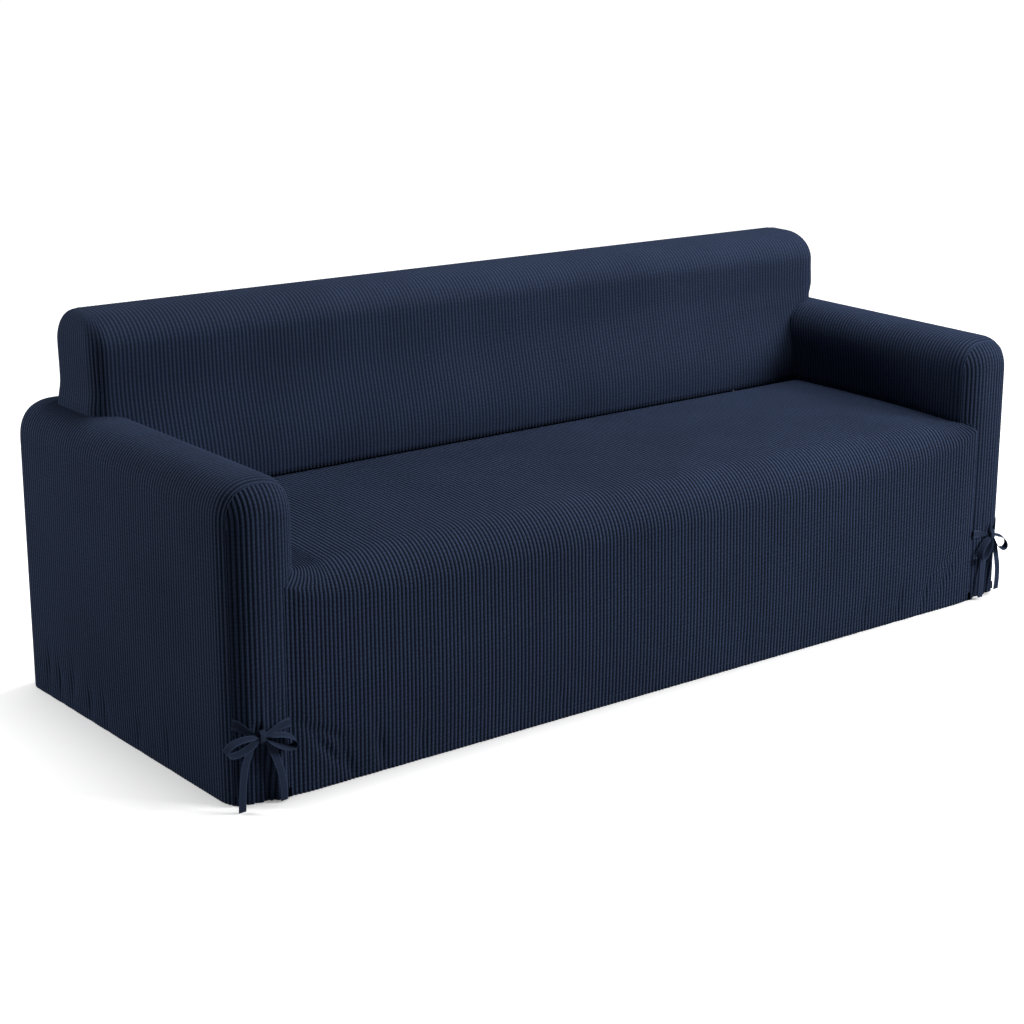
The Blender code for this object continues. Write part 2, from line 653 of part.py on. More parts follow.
def tie(row, material, home, parts):
    """One tie of a bow: sewn root, loop and tail, drawn together in its half of the knot."""
    size = dict(zip(TIE, row))
    name = f"tie_{size['bow']}_{size['edge']}"
    knot_in, knot_up = KNOTS[size["bow"]]
    side = -1 if size["bow"] == "left" else 1
    away = side if size["edge"] == "outer" else -side
    start = side * (HALF - knot_in) + BODY_X

    def place(reach, up, out):
        return Vector((start + away * reach, BODY_Y + FRONT - out, knot_up + up))

    def loop():
        droop = math.radians(size["droop"])
        stations = []
        for turn in steps(math.radians(LOOP_FROM), math.radians(360 - LOOP_FROM), LOOP_PARTS):
            along = size["loop"] * (1 - math.cos(turn)) / 2
            rise = size["loop_half"] / DROP_MOST * math.sin(turn) * math.sin(turn / 2)
            reach = LOOP_START + along * math.cos(droop) + rise * math.sin(droop)
            up = rise * math.cos(droop) - along * math.sin(droop)
            grown = ease(along / size["loop"] / LOOP_GROWS_BY)
            # The strip's face turns from the viewer towards the middle of the loop
            face = Vector((away * math.sin(droop), 0, math.cos(droop))) * math.cos(math.radians(LOOP_TURN))
            across = face + Vector((0, math.sin(math.radians(LOOP_TURN)), 0))
            width = mix(TIE_AT_KNOT, TIE_WIDTH, grown)
            stations.append((place(reach, up, mix(KNOT_OUT, LOOP_OUT, grown)), across, width))
        return stations

    def tail():
        stations = []
        for part in TAIL_PARTS:
            reach = KNOT_HALF[0] + size["tail_side"] * (1 - (1 - part) ** size["tail_bend"])
            width = mix(TAIL_AT_KNOT, TIE_WIDTH, ease(part / TAIL_GROWS_BY))
            across = Vector((away, 0, 0)) if part > TAIL_TURNS_BY else Vector((away, 0, 1))
            stations.append((place(reach, -size["tail_drop"] * part, KNOT_OUT), across, width))
        return stations

    def root():
        stations = []
        flat = HALF - ARM_FRONT_ROUND
        for part in steps(0, 1, ROOT_PARTS):
            up = mix(size["root_up"], ROOT_UP_AT_KNOT, ease(part))
            lift = mix(ROOT_LIFT, KNOT_OUT, part ** 3)
            if size["edge"] == "outer":
                last = math.asin(clamp((HALF - knot_in - flat) / ARM_FRONT_ROUND, -1, 1))
                turn = mix(SEAM_ANGLE, last, part)
                spot = ARM_FRONT_ROUND + lift
                x = side * (flat + spot * math.sin(turn))
                y = FRONT + ARM_FRONT_ROUND - spot * math.cos(turn)
                middle = Vector((x + BODY_X, y + BODY_Y, knot_up + up))
            else:
                far = HALF - knot_in - (ARM_INNER + SKIRT_LAP)
                middle = place(mix(far, KNOT_HALF[0], part), up, lift)
            width = mix(size["root_width"], TIE_AT_KNOT, ease(part))
            stations.append((middle, Vector((0, 0, 1)), width))
        return stations

    knot = bpy.data.meshes.new(name)
    bm = bmesh.new()
    bmesh.ops.create_uvsphere(bm, u_segments=12, v_segments=8, radius=1)
    bmesh.ops.scale(bm, vec=Vector(KNOT_HALF), verts=bm.verts[:])
    bmesh.ops.translate(bm, vec=place(KNOT_HALF[0] + KNOT_GAP / 2, 0, KNOT_OUT), verts=bm.verts[:])
    bm.to_mesh(knot)
    bm.free()
    knot.materials.append(material)
    obj = bpy.data.objects.new(name, knot)
    home.objects.link(obj)
    for word, stations in (("loop", loop()), ("tail", tail()), ("root", root())):
        piece = bpy.data.objects.new(f"{name}_{word}", strip_mesh(f"{name}_{word}", stations))
        piece.hide_render = True
        piece.display_type = "WIRE"
        parts.objects.link(piece)
        joined = obj.modifiers.new(word, "BOOLEAN")
        joined.operation = "UNION"
        joined.solver = "EXACT"
        joined.object = piece
    return obj


def main():
    for obj in list(bpy.data.objects):
        bpy.data.objects.remove(obj)
    home = new_collection("sofa_cover")
    parts = new_collection("tie_strips")
    navy = (0.014, 0.021, 0.044)
    seat_and_skirt(cloth_material("seat_cloth", navy), home)
    inside_back(cloth_material("inside_back_cloth", navy), home)
    outside_back(cloth_material("outside_back_cloth", navy), home)
    for word, side in (("left", -1), ("right", 1)):
        arm_panel(f"arm_{word}", side, cloth_material(f"arm_{word}_cloth", navy), home)
        arm_front(f"arm_front_{word}", side, cloth_material(f"arm_front_{word}_cloth", navy), home)
    for row in TIES:
        tie(row, cloth_material(f"tie_{row[0]}_{row[1]}_cloth", navy), home, parts)


main()
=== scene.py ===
"""Looks for a fitted ribbed sofa cover: ribbed panels with turned hems, stitched seams and tied bows."""

import json
import math

import bmesh
import bpy
import numpy as np
from bpy.props import FloatProperty, FloatVectorProperty, PointerProperty
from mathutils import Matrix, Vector

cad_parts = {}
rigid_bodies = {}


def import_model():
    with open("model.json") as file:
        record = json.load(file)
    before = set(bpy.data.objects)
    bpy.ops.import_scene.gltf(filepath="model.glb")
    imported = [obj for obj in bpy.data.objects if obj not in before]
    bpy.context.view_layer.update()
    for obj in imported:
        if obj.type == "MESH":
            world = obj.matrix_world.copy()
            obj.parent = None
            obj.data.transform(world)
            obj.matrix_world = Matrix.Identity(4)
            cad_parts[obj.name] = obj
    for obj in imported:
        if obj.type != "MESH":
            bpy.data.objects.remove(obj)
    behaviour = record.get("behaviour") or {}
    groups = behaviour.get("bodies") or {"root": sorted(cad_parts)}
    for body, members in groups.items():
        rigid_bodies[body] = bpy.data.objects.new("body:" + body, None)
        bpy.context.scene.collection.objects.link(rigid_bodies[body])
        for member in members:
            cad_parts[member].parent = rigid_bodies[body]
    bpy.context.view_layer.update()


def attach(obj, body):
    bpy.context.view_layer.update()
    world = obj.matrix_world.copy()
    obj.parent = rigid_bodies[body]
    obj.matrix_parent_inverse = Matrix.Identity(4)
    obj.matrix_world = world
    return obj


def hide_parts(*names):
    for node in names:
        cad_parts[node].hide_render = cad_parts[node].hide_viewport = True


bl_info = {
    "name": "Ribbed Sofa Cover",
    "version": (1, 0, 0),
    "blender": (4, 5, 0),
    "location": "3D View > Sidebar > Sofa Cover",
    "description": "Ribbed stretch cloth, stitched hems and tied bows over the packed cover",
    "category": "Object",
}

for old in list(bpy.data.objects):
    bpy.data.objects.remove(old)
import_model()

# Driving sizes of the stretched form, in metres
WIDTH = 2.18
DEPTH = 0.88
ARM_HEIGHT = 0.64
ARM_WIDTH = 0.162
BACK_HEIGHT = 0.828
BACK_WIDTH = 2.06
BACK_FRONT = 0.144
BACK_LEAN = 0.041
BACK_REAR = 0.375
SEAT_HEIGHT = 0.456
SEAM = 0.0004
ARM_CROWN = 0.085
CROWN_CURVE = 2.5
ARM_FRONT_ROUND = 0.066
ARM_REAR_ROUND = 0.04
SEAM_SETBACK = 0.03
END_ROUND = 0.042
TOP_RISE = 0.072
TOP_FRONT_BEND = 0.09
TOP_REAR_BEND = 0.07
SEAT_ROLL = 0.095
SEAT_ROLL_AT_ARM = 0.035
ROLL_CURVE = 6
SKIRT_LAP = 0.044
SEAT_CROWN = 0.012
SEAT_FALL = 0.014
SEAT_TILT = 0.006
BACK_TILT = 0.018
BACK_SWELL = 0.008
# How far each end of the back bulges, the share of its height where that is reached, what is left
# of it where the top bends over, and how square the bend is, 1 being round
END_BULGE = {-1: -0.008, 1: 0.014}
BULGE_FULL = 0.4
BULGE_AT_TOP = 0.8
END_SQUARE = 0.7
SKIRT_SWELL = 0.004
SIDE_SWELL = 0.004
REAR_LEAN_FROM = 0.38
REAR_CURVE = 12
REAR_LEDGE = 0.012
FRONT_LEAN_FROM = 0.47
FRONT_LEAN_TO = 0.70
LAP_EASE = 0.05
CORNER_RISE = 0.05
# Ribs run straight up to this near a panel's sides, where they are drawn in
DRAWN_WITHIN = 0.11

# The pleat drawn in under each bow, and the small gathers above it
PLEAT_DEPTH = 0.013
PLEAT_AT_KNOT = 0.45
PLEAT_HALF_TOP = 0.010
PLEAT_HALF_HEM = 0.042
PLEAT_EDGE = 0.5
PLEAT_FOLD = 0.002
PLEAT_FOLD_PITCH = 0.02
GATHER_DEPTH = 0.0009
GATHER_PITCH = 0.026
GATHER_REACH = 0.043
GATHER_RISE = 0.03

# Ties
TIE_WIDTH = 0.017
TIE_AT_KNOT = 0.008
TIE_THICK = 0.0016
KNOT_HALF = 0.0036
KNOT_OUT = 0.0105
LOOP_OUT = 0.015
LOOP_START = 0.0020
LOOP_TURN = math.radians(65)
ROOT_LIFT = 0.0022

# The cover's middle stands this far from the origin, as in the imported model
SHIFT = np.array((0.0138, 0.01175, 0.0))

HALF = WIDTH / 2
FRONT = -DEPTH / 2
REAR = DEPTH / 2
ARM_CENTRE = HALF - ARM_WIDTH / 2
ARM_INNER = HALF - ARM_WIDTH
SPRING = ARM_HEIGHT - ARM_CROWN
BACK_HALF = BACK_WIDTH / 2
BACK_FLAT = BACK_HALF - END_ROUND
BACK_SPRING = BACK_HEIGHT - TOP_RISE
SEAM_ANGLE = math.acos(1 - SEAM_SETBACK / ARM_FRONT_ROUND)
LAP_ANGLE = math.asin(1 - SKIRT_LAP / ARM_FRONT_ROUND)
BACK_REACH = (ARM_CENTRE - BACK_FLAT) / (ARM_WIDTH / 2)
NOTCH_ANGLE = math.pi - math.acos(BACK_REACH ** (CROWN_CURVE / 2))
QUARTER = math.pi / 2

# How light the ribbed cloth is on the whole, from its painted groove shade at 0 to its painted crest light at
# 1
MEAN_TONE = 0.49

# Stitches: height over the floor, how far they stand off the panel, and their size
STITCH_UP = 0.020
STITCH_OUT = 0.0011
STITCH_LENGTH = 0.0026
STITCH_THICK = 0.0007
SEAM_PITCH = 0.0024
SEAM_LENGTH = 0.0032
SEAM_THICK = 0.0019

HEM_TURN = 0.020
HEM_THICK = 0.0022
HEM_UP = 0.0008
EDGE_TURN = 0.010
# Over this distance an end of the back leaves the front's edge
END_LIP = 0.002
# The rear's rows below the arms, as shares of their height
REAR_STEPS = np.concatenate([[0.0], np.linspace(0.004, 1, 24)])
# A tie's fine knit rows, and how much of its half width is plain inside its stitched edges
KNIT_PITCH = 0.0026
TIE_PLAIN = 0.36

# Stage: the camera as recovered from the photo, and a floor just under the cover
CAMERA_PLACE = (-3.172, -3.992, 1.809)
CAMERA_DOWN = 16.52
CAMERA_TURN = -37.66
LENS = 81.56
SENSOR = 36
FLOOR_REACH = 30.0
FLOOR_DROP = 0.001

# Puckers where the cloth is drawn up, a row each: the middle of the fold, its lean from
# upright in degrees, its half length, its half width and its depth
PUCKER = ("panel", "along", "up", "lean", "length", "width", "depth")
PUCKERS = (
    ("side_left", 0.335, 0.070, 8, 0.050, 0.012, 0.004),
    ("side_left", 0.285, 0.050, -6, 0.040, 0.011, 0.005),
    ("side_left", 0.225, 0.062, 10, 0.045, 0.013, 0.004),
    ("side_left", 0.150, 0.045, 4, 0.035, 0.012, 0.005),
    ("side_left", 0.085, 0.050, -9, 0.040, 0.013, 0.004),
    ("side_left", -0.060, 0.040, 6, 0.035, 0.012, 0.003),
    ("side_left", -0.180, 0.050, -5, 0.040, 0.012, 0.003),
    ("side_right", 0.240, 0.055, 7, 0.045, 0.012, 0.004),
    ("side_right", 0.110, 0.045, -6, 0.040, 0.012, 0.004),
    ("side_right", -0.070, 0.050, 5, 0.040, 0.012, 0.004),
    ("skirt", -0.890, 0.115, 62, 0.060, 0.010, 0.004),
    ("skirt", -0.885, 0.075, 40, 0.060, 0.010, 0.005),
    ("skirt", -0.840, 0.045, 24, 0.045, 0.011, 0.004),
    ("skirt", -0.760, 0.050, 12, 0.045, 0.013, 0.004),
    ("skirt", -0.660, 0.040, -6, 0.035, 0.013, 0.003),
    ("skirt", -0.300, 0.035, 8, 0.030, 0.013, 0.002),
    ("skirt", 0.220, 0.035, -7, 0.030, 0.013, 0.002),
    ("skirt", 0.600, 0.040, -10, 0.035, 0.013, 0.003),
    ("skirt", 0.720, 0.045, -14, 0.040, 0.012, 0.004),
    ("skirt", 0.810, 0.050, -26, 0.045, 0.011, 0.005),
    ("skirt", 0.880, 0.080, -42, 0.060, 0.010, 0.005),
    ("skirt", 0.890, 0.125, -64, 0.060, 0.010, 0.004),
)

# Each bow's knot: how far in from the cover's side, and its height
KNOTS = {"left": (0.050, 0.146), "right": (0.064, 0.160)}

# The ties, a row each. Loop: length, half height, droop in degrees. Tail: how far it ends to the
# side, how far down, and how sharply it bends. Root: how high above the knot it is sewn on, and width
TIE = ("bow", "edge", "loop", "loop_half", "droop", "tail_side", "tail_drop", "tail_bend", "root_up",
       "root_width")
TIES = (
    ("left", "outer", 0.080, 0.0125, 10, 0.0430, 0.1445, 3.5, 0.022, 0.023),
    ("left", "inner", 0.078, 0.0120, 23, 0.0430, 0.1430, 2.4, 0.010, 0.021),
    ("right", "inner", 0.064, 0.0120, 56, 0.0240, 0.1540, 2.2, 0.008, 0.021),
    ("right", "outer", 0.060, 0.0130, 38, 0.0260, 0.1440, 3.0, 0.018, 0.023),
)


def ease(value):
    value = np.clip(value, 0, 1)
    return value * value * (3 - 2 * value)


def mix(low, high, part):
    return low + (high - low) * part


def power(value, exponent):
    return np.sign(value) * np.abs(value) ** exponent


def points_of(x, y, z):
    return np.stack(np.broadcast_arrays(x, y, z), axis=-1).astype(float)


# Forms, the solids' own but for the back's height, tilt and ends, which differ by up to 8 mm

def pucker(panel, along, up):
    """How deep the puckers of a panel draw its cloth in."""
    depth = 0.0
    for row in PUCKERS:
        fold = dict(zip(PUCKER, row))
        if fold["panel"] != panel:
            continue
        lean = math.radians(fold["lean"])
        right = along - fold["along"]
        rise = up - fold["up"]
        across = right * math.cos(lean) + rise * math.sin(lean)
        down = rise * math.cos(lean) - right * math.sin(lean)
        depth = depth + fold["depth"] * np.exp(-(across / fold["width"]) ** 2 - (down / fold["length"]) ** 2)
    return depth


def front_round(angle):
    return ARM_FRONT_ROUND * (1 - np.cos(angle)), ARM_FRONT_ROUND * (1 - np.sin(angle))


def rear_round(angle):
    return ARM_REAR_ROUND * (1 - np.cos(angle)), ARM_REAR_ROUND * (1 - np.sin(angle))


def front_angle(setback):
    return np.arccos(np.clip(1 - setback / ARM_FRONT_ROUND, -1, 1))


def crown(angle, inset):
    """An arm's rounded top, 0 at its outer side: distance from the arm's middle, and height."""
    across = -(ARM_WIDTH / 2 - inset) * power(np.cos(angle), 2 / CROWN_CURVE)
    return across, SPRING + (ARM_CROWN - inset) * power(np.sin(angle), 2 / CROWN_CURVE)


def crown_angle(across):
    share = np.clip(-across / (ARM_WIDTH / 2), -1, 1)
    return np.arccos(power(share, CROWN_CURVE / 2))


def seat_height(spread, y):
    along = (BACK_FRONT - y) / (BACK_FRONT - FRONT)
    swell = SEAT_CROWN * np.sin(math.pi * np.clip(along, 0, 1)) * (1 - spread ** 4)
    return SEAT_HEIGHT + swell - SEAT_FALL * np.abs(along) ** 3 - SEAT_TILT * spread * (1 - along)


def seat_roll(spread):
    return mix(SEAT_ROLL, SEAT_ROLL_AT_ARM, np.abs(spread) ** ROLL_CURVE)


def roll_point(spread, angle):
    radius = seat_roll(spread)
    top = seat_height(spread, FRONT + radius)
    return FRONT + radius * (1 - np.sin(angle)), top - radius * (1 - np.cos(angle))


def seat_edge(y):
    setback = np.maximum(y - FRONT, 0)
    inset = front_round(front_angle(setback))[1]
    return ARM_INNER + np.where(setback >= ARM_FRONT_ROUND, 0, np.minimum(inset, SKIRT_LAP))


def lap_edge(x, y):
    """Sets the seat's cloth back beside an arm, to meet the arm's rounded front."""
    near = 1 - ease((ARM_INNER + SKIRT_LAP - np.abs(x)) / LAP_EASE)
    return np.maximum(y, FRONT + front_round(LAP_ANGLE)[0] * near)


def straight(spread, whole, half):
    """Keeps ribs upright over a panel: x at each spread of its whole half width, where it is half wide."""
    x = np.abs(spread) * whole
    start = whole - DRAWN_WITHIN
    drawn = start + (x - start) * (half - start) / (whole - start)
    return np.sign(spread) * np.where(x > start, drawn, x)


def back_front(z):
    return BACK_FRONT + BACK_LEAN * ease((z - FRONT_LEAN_FROM) / (FRONT_LEAN_TO - FRONT_LEAN_FROM))


FOOT_FRONT = float(back_front(crown(NOTCH_ANGLE, 0)[1]))


def end_bulge(side, part):
    """How far an end of the back bulges, from its foot at 0 to the start of its top bend at 1."""
    above = ease((part - BULGE_FULL) / (1 - BULGE_FULL))
    return END_BULGE[side] * ease(part / BULGE_FULL) * mix(1, BULGE_AT_TOP, above)


def back_top(x):
    return BACK_HEIGHT - BACK_TILT * x / BACK_HALF


def pleat(x, z):
    """How far an arm front is drawn in behind the tails: an upside-down V, opening to the hem."""
    knot_in, knot_up = KNOTS["left" if np.mean(x) < 0 else "right"]
    drop = np.clip((knot_up - z) / knot_up, 0, 1)
    off = np.abs(x) - (HALF - knot_in)
    half = mix(PLEAT_HALF_TOP, PLEAT_HALF_HEM, drop)
    inside = ease((1 - np.abs(off) / half) / PLEAT_EDGE + PLEAT_EDGE / 2)
    inside = inside * (1 - ease((z - knot_up) / GATHER_RISE))
    fold = PLEAT_FOLD * np.cos(2 * math.pi * off / PLEAT_FOLD_PITCH) * drop
    near = np.exp(-(((z - knot_up - GATHER_RISE) / GATHER_REACH) ** 2))
    gather = GATHER_DEPTH * (1 + np.cos(2 * math.pi * off / GATHER_PITCH)) * near
    return PLEAT_DEPTH * inside * mix(PLEAT_AT_KNOT, 1, np.sqrt(drop)) + fold * inside + gather


# Sheets of ribbed cloth

def grid_of(points, ribs, calm=1.0):
    """A grid of points with its cloth coordinates: columns counted in ribs, rows by length run."""
    steps = np.linalg.norm(np.diff(points, axis=0), axis=2)
    run = np.concatenate([np.zeros((1, points.shape[1])), np.cumsum(steps, axis=0)])
    run = np.broadcast_to(np.median(run, axis=1)[:, None], run.shape)
    ribs = np.broadcast_to(ribs, points.shape[:2])
    return {"points": points, "ribs": ribs, "run": run, "calm": np.broadcast_to(calm, ribs.shape)}


def normals_of(points, within):
    along = np.gradient(points, axis=0)
    across = np.gradient(points, axis=1)
    normal = np.cross(across, along)
    length = np.linalg.norm(normal, axis=2, keepdims=True)
    normal = normal / np.maximum(length, 1e-12)
    facing = np.sum(normal * (points - np.asarray(within)), axis=2)
    return normal if np.mean(facing) > 0 else -normal


def turned(points, within, depth=EDGE_TURN, first=False, last=False, left=False, right=False):
    """Turns the named edges of a grid inwards, as the cloth is at a seam."""
    for wanted, axis, place in ((first, 0, 0), (last, 0, -1), (left, 1, 0), (right, 1, -1)):
        if not wanted:
            continue
        normal = normals_of(points, within)
        edge = np.take(points, [place], axis=axis)
        inwards = -np.take(normal, [place], axis=axis)
        rows = [edge + inwards * depth, edge + inwards * depth * 0.3]
        if place == 0:
            points = np.concatenate(rows + [points], axis=axis)
        else:
            points = np.concatenate([points] + rows[::-1], axis=axis)
    return points


def hemmed(points, within):
    """Turns the last row of a grid under and up again, as a hem."""
    normal = normals_of(points, within)[-1:]
    inwards = -normal * (1, 1, 0)
    edge = points[-1:]
    up = np.array((0, 0, 1.0))
    under = [edge + inwards * HEM_THICK * 0.5, edge + inwards * HEM_THICK + up * HEM_UP,
             edge + inwards * HEM_THICK * 1.3 + up * HEM_TURN]
    return np.concatenate([points[:-1], edge + up * HEM_UP] + under, axis=0)


def ribbed_sheet(name, grids, within, material, sizes):
    """One panel: its grids sewn into one sheet, with the ribs raised along its normals."""
    points, ribs, runs, lifts, quads, start = [], [], [], [], [], 0
    for grid in grids:
        rows, columns = grid["points"].shape[:2]
        ids = np.arange(rows * columns).reshape(rows, columns) + start
        corners = np.stack([ids[:-1, :-1], ids[:-1, 1:], ids[1:, 1:], ids[1:, :-1]], axis=-1)
        quads.append(corners.reshape(-1, 4))
        points.append(grid["points"].reshape(-1, 3))
        ribs.append(grid["ribs"].ravel())
        runs.append(grid["run"].ravel() / sizes.bead_pitch)
        crest = np.abs(np.sin(math.pi * grid["ribs"])) ** 0.8
        lifts.append((crest * grid["calm"]).ravel() * sizes.rib_height)
        start += rows * columns
    points = np.concatenate(points) + SHIFT
    quads = np.concatenate(quads)
    mesh = bpy.data.meshes.new(name)
    mesh.from_pydata(points.tolist(), [], quads.tolist())
    lift = mesh.attributes.new("lift", "FLOAT", "POINT")
    lift.data.foreach_set("value", np.concatenate(lifts).astype(np.float32))
    corners = np.empty(len(mesh.loops), dtype=np.int32)
    mesh.loops.foreach_get("vertex_index", corners)
    flat = np.stack([np.concatenate(ribs)[corners], np.concatenate(runs)[corners]], axis=-1)
    mesh.uv_layers.new(name="cloth").data.foreach_set("uv", flat.ravel().astype(np.float32))
    bm = bmesh.new()
    bm.from_mesh(mesh)
    bmesh.ops.remove_doubles(bm, verts=bm.verts[:], dist=2e-5)
    bmesh.ops.recalc_face_normals(bm, faces=bm.faces[:])
    middle = Vector(np.asarray(within) + SHIFT)
    facing = sum(f.calc_area() * f.normal.dot(f.calc_center_median() - middle) for f in bm.faces)
    if facing < 0:
        bmesh.ops.reverse_faces(bm, faces=bm.faces[:])
    bm.to_mesh(mesh)
    bm.free()
    count = len(mesh.vertices)
    place, normal, lift = np.empty(count * 3), np.empty(count * 3), np.empty(count)
    mesh.vertices.foreach_get("co", place)
    mesh.vertex_normals.foreach_get("vector", normal)
    mesh.attributes["lift"].data.foreach_get("value", lift)
    place = place.reshape(-1, 3) + normal.reshape(-1, 3) * lift[:, None]
    mesh.vertices.foreach_set("co", place.ravel())
    mesh.attributes.remove(mesh.attributes["lift"])
    mesh.shade_smooth()
    mesh.materials.append(material)
    mesh.update()
    obj = bpy.data.objects.new(name, mesh)
    bpy.context.collection.objects.link(obj)
    return obj


def finish_sheet(obj, node):
    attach(obj, "root")
    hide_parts(node)
    return obj


def across_ribs(half, sizes):
    """Columns over a panel's width: rib numbers, four columns to a rib, and spread from -1 to 1."""
    number = 2 * round(half / sizes.rib_pitch)
    ribs = np.arange(number * 4 + 1) / 4
    return ribs, ribs / number * 2 - 1


# Stitches

def hem_line(points, within):
    """The path of a hem's stitches: the row nearest their height, just outside the cloth."""
    row = int(np.argmin(np.abs(np.mean(points[..., 2], axis=1) - STITCH_UP)))
    return points[row] + normals_of(points, within)[row] * STITCH_OUT


def stitch_tree():
    """Geometry Nodes: small raised stitches, evenly spaced along a path of edges."""
    tree = bpy.data.node_groups.new("stitches", "GeometryNodeTree")
    tree.interface.new_socket("Geometry", in_out="INPUT", socket_type="NodeSocketGeometry")
    for name in ("Pitch", "Length", "Thickness"):
        socket = tree.interface.new_socket(name, in_out="INPUT", socket_type="NodeSocketFloat")
        socket.subtype = "DISTANCE"
    tree.interface.new_socket("Material", in_out="INPUT", socket_type="NodeSocketMaterial")
    tree.interface.new_socket("Geometry", in_out="OUTPUT", socket_type="NodeSocketGeometry")
    given = tree.nodes.new("NodeGroupInput").outputs
    curve = linked(tree, "GeometryNodeMeshToCurve", {"Mesh": given["Geometry"]}).outputs[0]
    spaced = linked(tree, "GeometryNodeResampleCurve", {"Curve": curve, "Length": given["Pitch"]},
                    mode="LENGTH").outputs[0]
    bead = linked(tree, "GeometryNodeMeshUVSphere", {"Segments": 6, "Rings": 4, "Radius": 0.5}).outputs[0]
    bead = linked(tree, "GeometryNodeSetShadeSmooth", {0: bead}).outputs[0]
    ahead = linked(tree, "GeometryNodeInputTangent", {}).outputs[0]
    turn = linked(tree, "FunctionNodeAlignRotationToVector", {"Vector": ahead}, axis="X").outputs[0]
    scale = linked(tree, "ShaderNodeCombineXYZ", {0: given["Length"], 1: given["Thickness"],
                                                  2: given["Thickness"]}).outputs[0]
    placed = linked(tree, "GeometryNodeInstanceOnPoints",
                    {"Points": spaced, "Instance": bead, "Rotation": turn, "Scale": scale}).outputs[0]
    whole = linked(tree, "GeometryNodeRealizeInstances", {0: placed}).outputs[0]
    done = linked(tree, "GeometryNodeSetMaterial",
                  {"Geometry": whole, "Material": given["Material"]}).outputs[0]
    linked(tree, "NodeGroupOutput", {0: done})
    return tree


def stitches(name, paths, material, pitch, length, thickness):
    """Stitches along some paths, as one plain mesh."""
    mesh = bpy.data.meshes.new(name)
    points, edges = [], []
    for path in paths:
        edges += [(len(points) + i, len(points) + i + 1) for i in range(len(path) - 1)]
        points += (path + SHIFT).tolist()
    mesh.from_pydata(points, edges, [])
    obj = bpy.data.objects.new(name, mesh)
    bpy.context.collection.objects.link(obj)
    tree = bpy.data.node_groups.get("stitches") or stitch_tree()
    modifier = obj.modifiers.new("stitches", "NODES")
    modifier.node_group = tree
    given = {"Pitch": pitch, "Length": length, "Thickness": thickness, "Material": material}
    for socket in tree.interface.items_tree:
        if socket.in_out == "INPUT" and socket.name in given:
            modifier[socket.identifier] = given[socket.name]
    graph = bpy.context.evaluated_depsgraph_get()
    made = bpy.data.meshes.new_from_object(obj.evaluated_get(graph))
    obj.modifiers.clear()
    obj.data = made
    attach(obj, "root")
    return obj


def hem_stitches(name, paths, sizes):
    """The row of stitches that holds a panel's hem."""
    return stitches(name + "_hem_stitches", paths, thread_for(sizes), sizes.stitch_pitch, STITCH_LENGTH,
                    STITCH_THICK)


def thread_for(sizes):
    """The thread, a little paler than the cloth's crests."""
    known = bpy.data.materials.get("thread")
    if known:
        return known
    made, _, shader = nodes_for("thread")
    shader.inputs["Base Color"].default_value = (*sizes.tie, 1)
    soft_cloth(shader, sizes)
    return made


# The panels

def seat_and_skirt(material, sizes):
    """Seat, rolled front edge and skirt in one piece of cloth."""
    ribs, spread = across_ribs(ARM_INNER + SKIRT_LAP, sizes)
    whole = ARM_INNER + SKIRT_LAP - SEAM
    back_edge = BACK_FRONT - SEAM

    def seat_row(y_of, z_of):
        x = spread * whole
        for _ in range(4):
            spot = np.clip(x / np.abs(x).max(), -1, 1)
            y = y_of(spot)
            x = straight(spread, whole, seat_edge(y) - SEAM)
        return points_of(x, lap_edge(x, y), z_of(spot, y))

    rows = []
    for part in np.concatenate([np.linspace(0, 0.06, 4), np.linspace(0.06, 1, 26)[1:]]):
        dip = 0.004 * (1 - ease(part / 0.05))
        rows.append(seat_row(lambda spot: mix(back_edge, FRONT + seat_roll(spot), part),
                             lambda spot, y: seat_height(spot, y) - dip))
    for angle in np.linspace(0, QUARTER, 19)[1:]:
        rows.append(seat_row(lambda spot: roll_point(spot, angle)[0],
                             lambda spot, y: roll_point(spot, angle)[1]))
    x = spread * whole
    top = roll_point(spread, QUARTER)[1]
    for part in np.linspace(0, 1, 62)[1:]:
        z = top * (1 - part)
        swell = SKIRT_SWELL * np.sin(math.pi * part ** 1.25) * (1 - spread ** 4)
        rows.append(points_of(x, lap_edge(x, FRONT) - swell + pucker("skirt", x, z), z))
    points = np.array(rows)
    within = (0, 0, 0)
    sewn = [hem_stitches("seat_and_skirt", [hem_line(points, within)], sizes)]
    points = turned(points, within, first=True)
    points = hemmed(points, within)
    points = turned(points, within, left=True, right=True)
    ribs = np.concatenate([[0, 0], ribs, [ribs[-1]] * 2])
    return ribbed_sheet("seat_and_skirt_cloth", [grid_of(points, ribs)], within, material, sizes), sewn


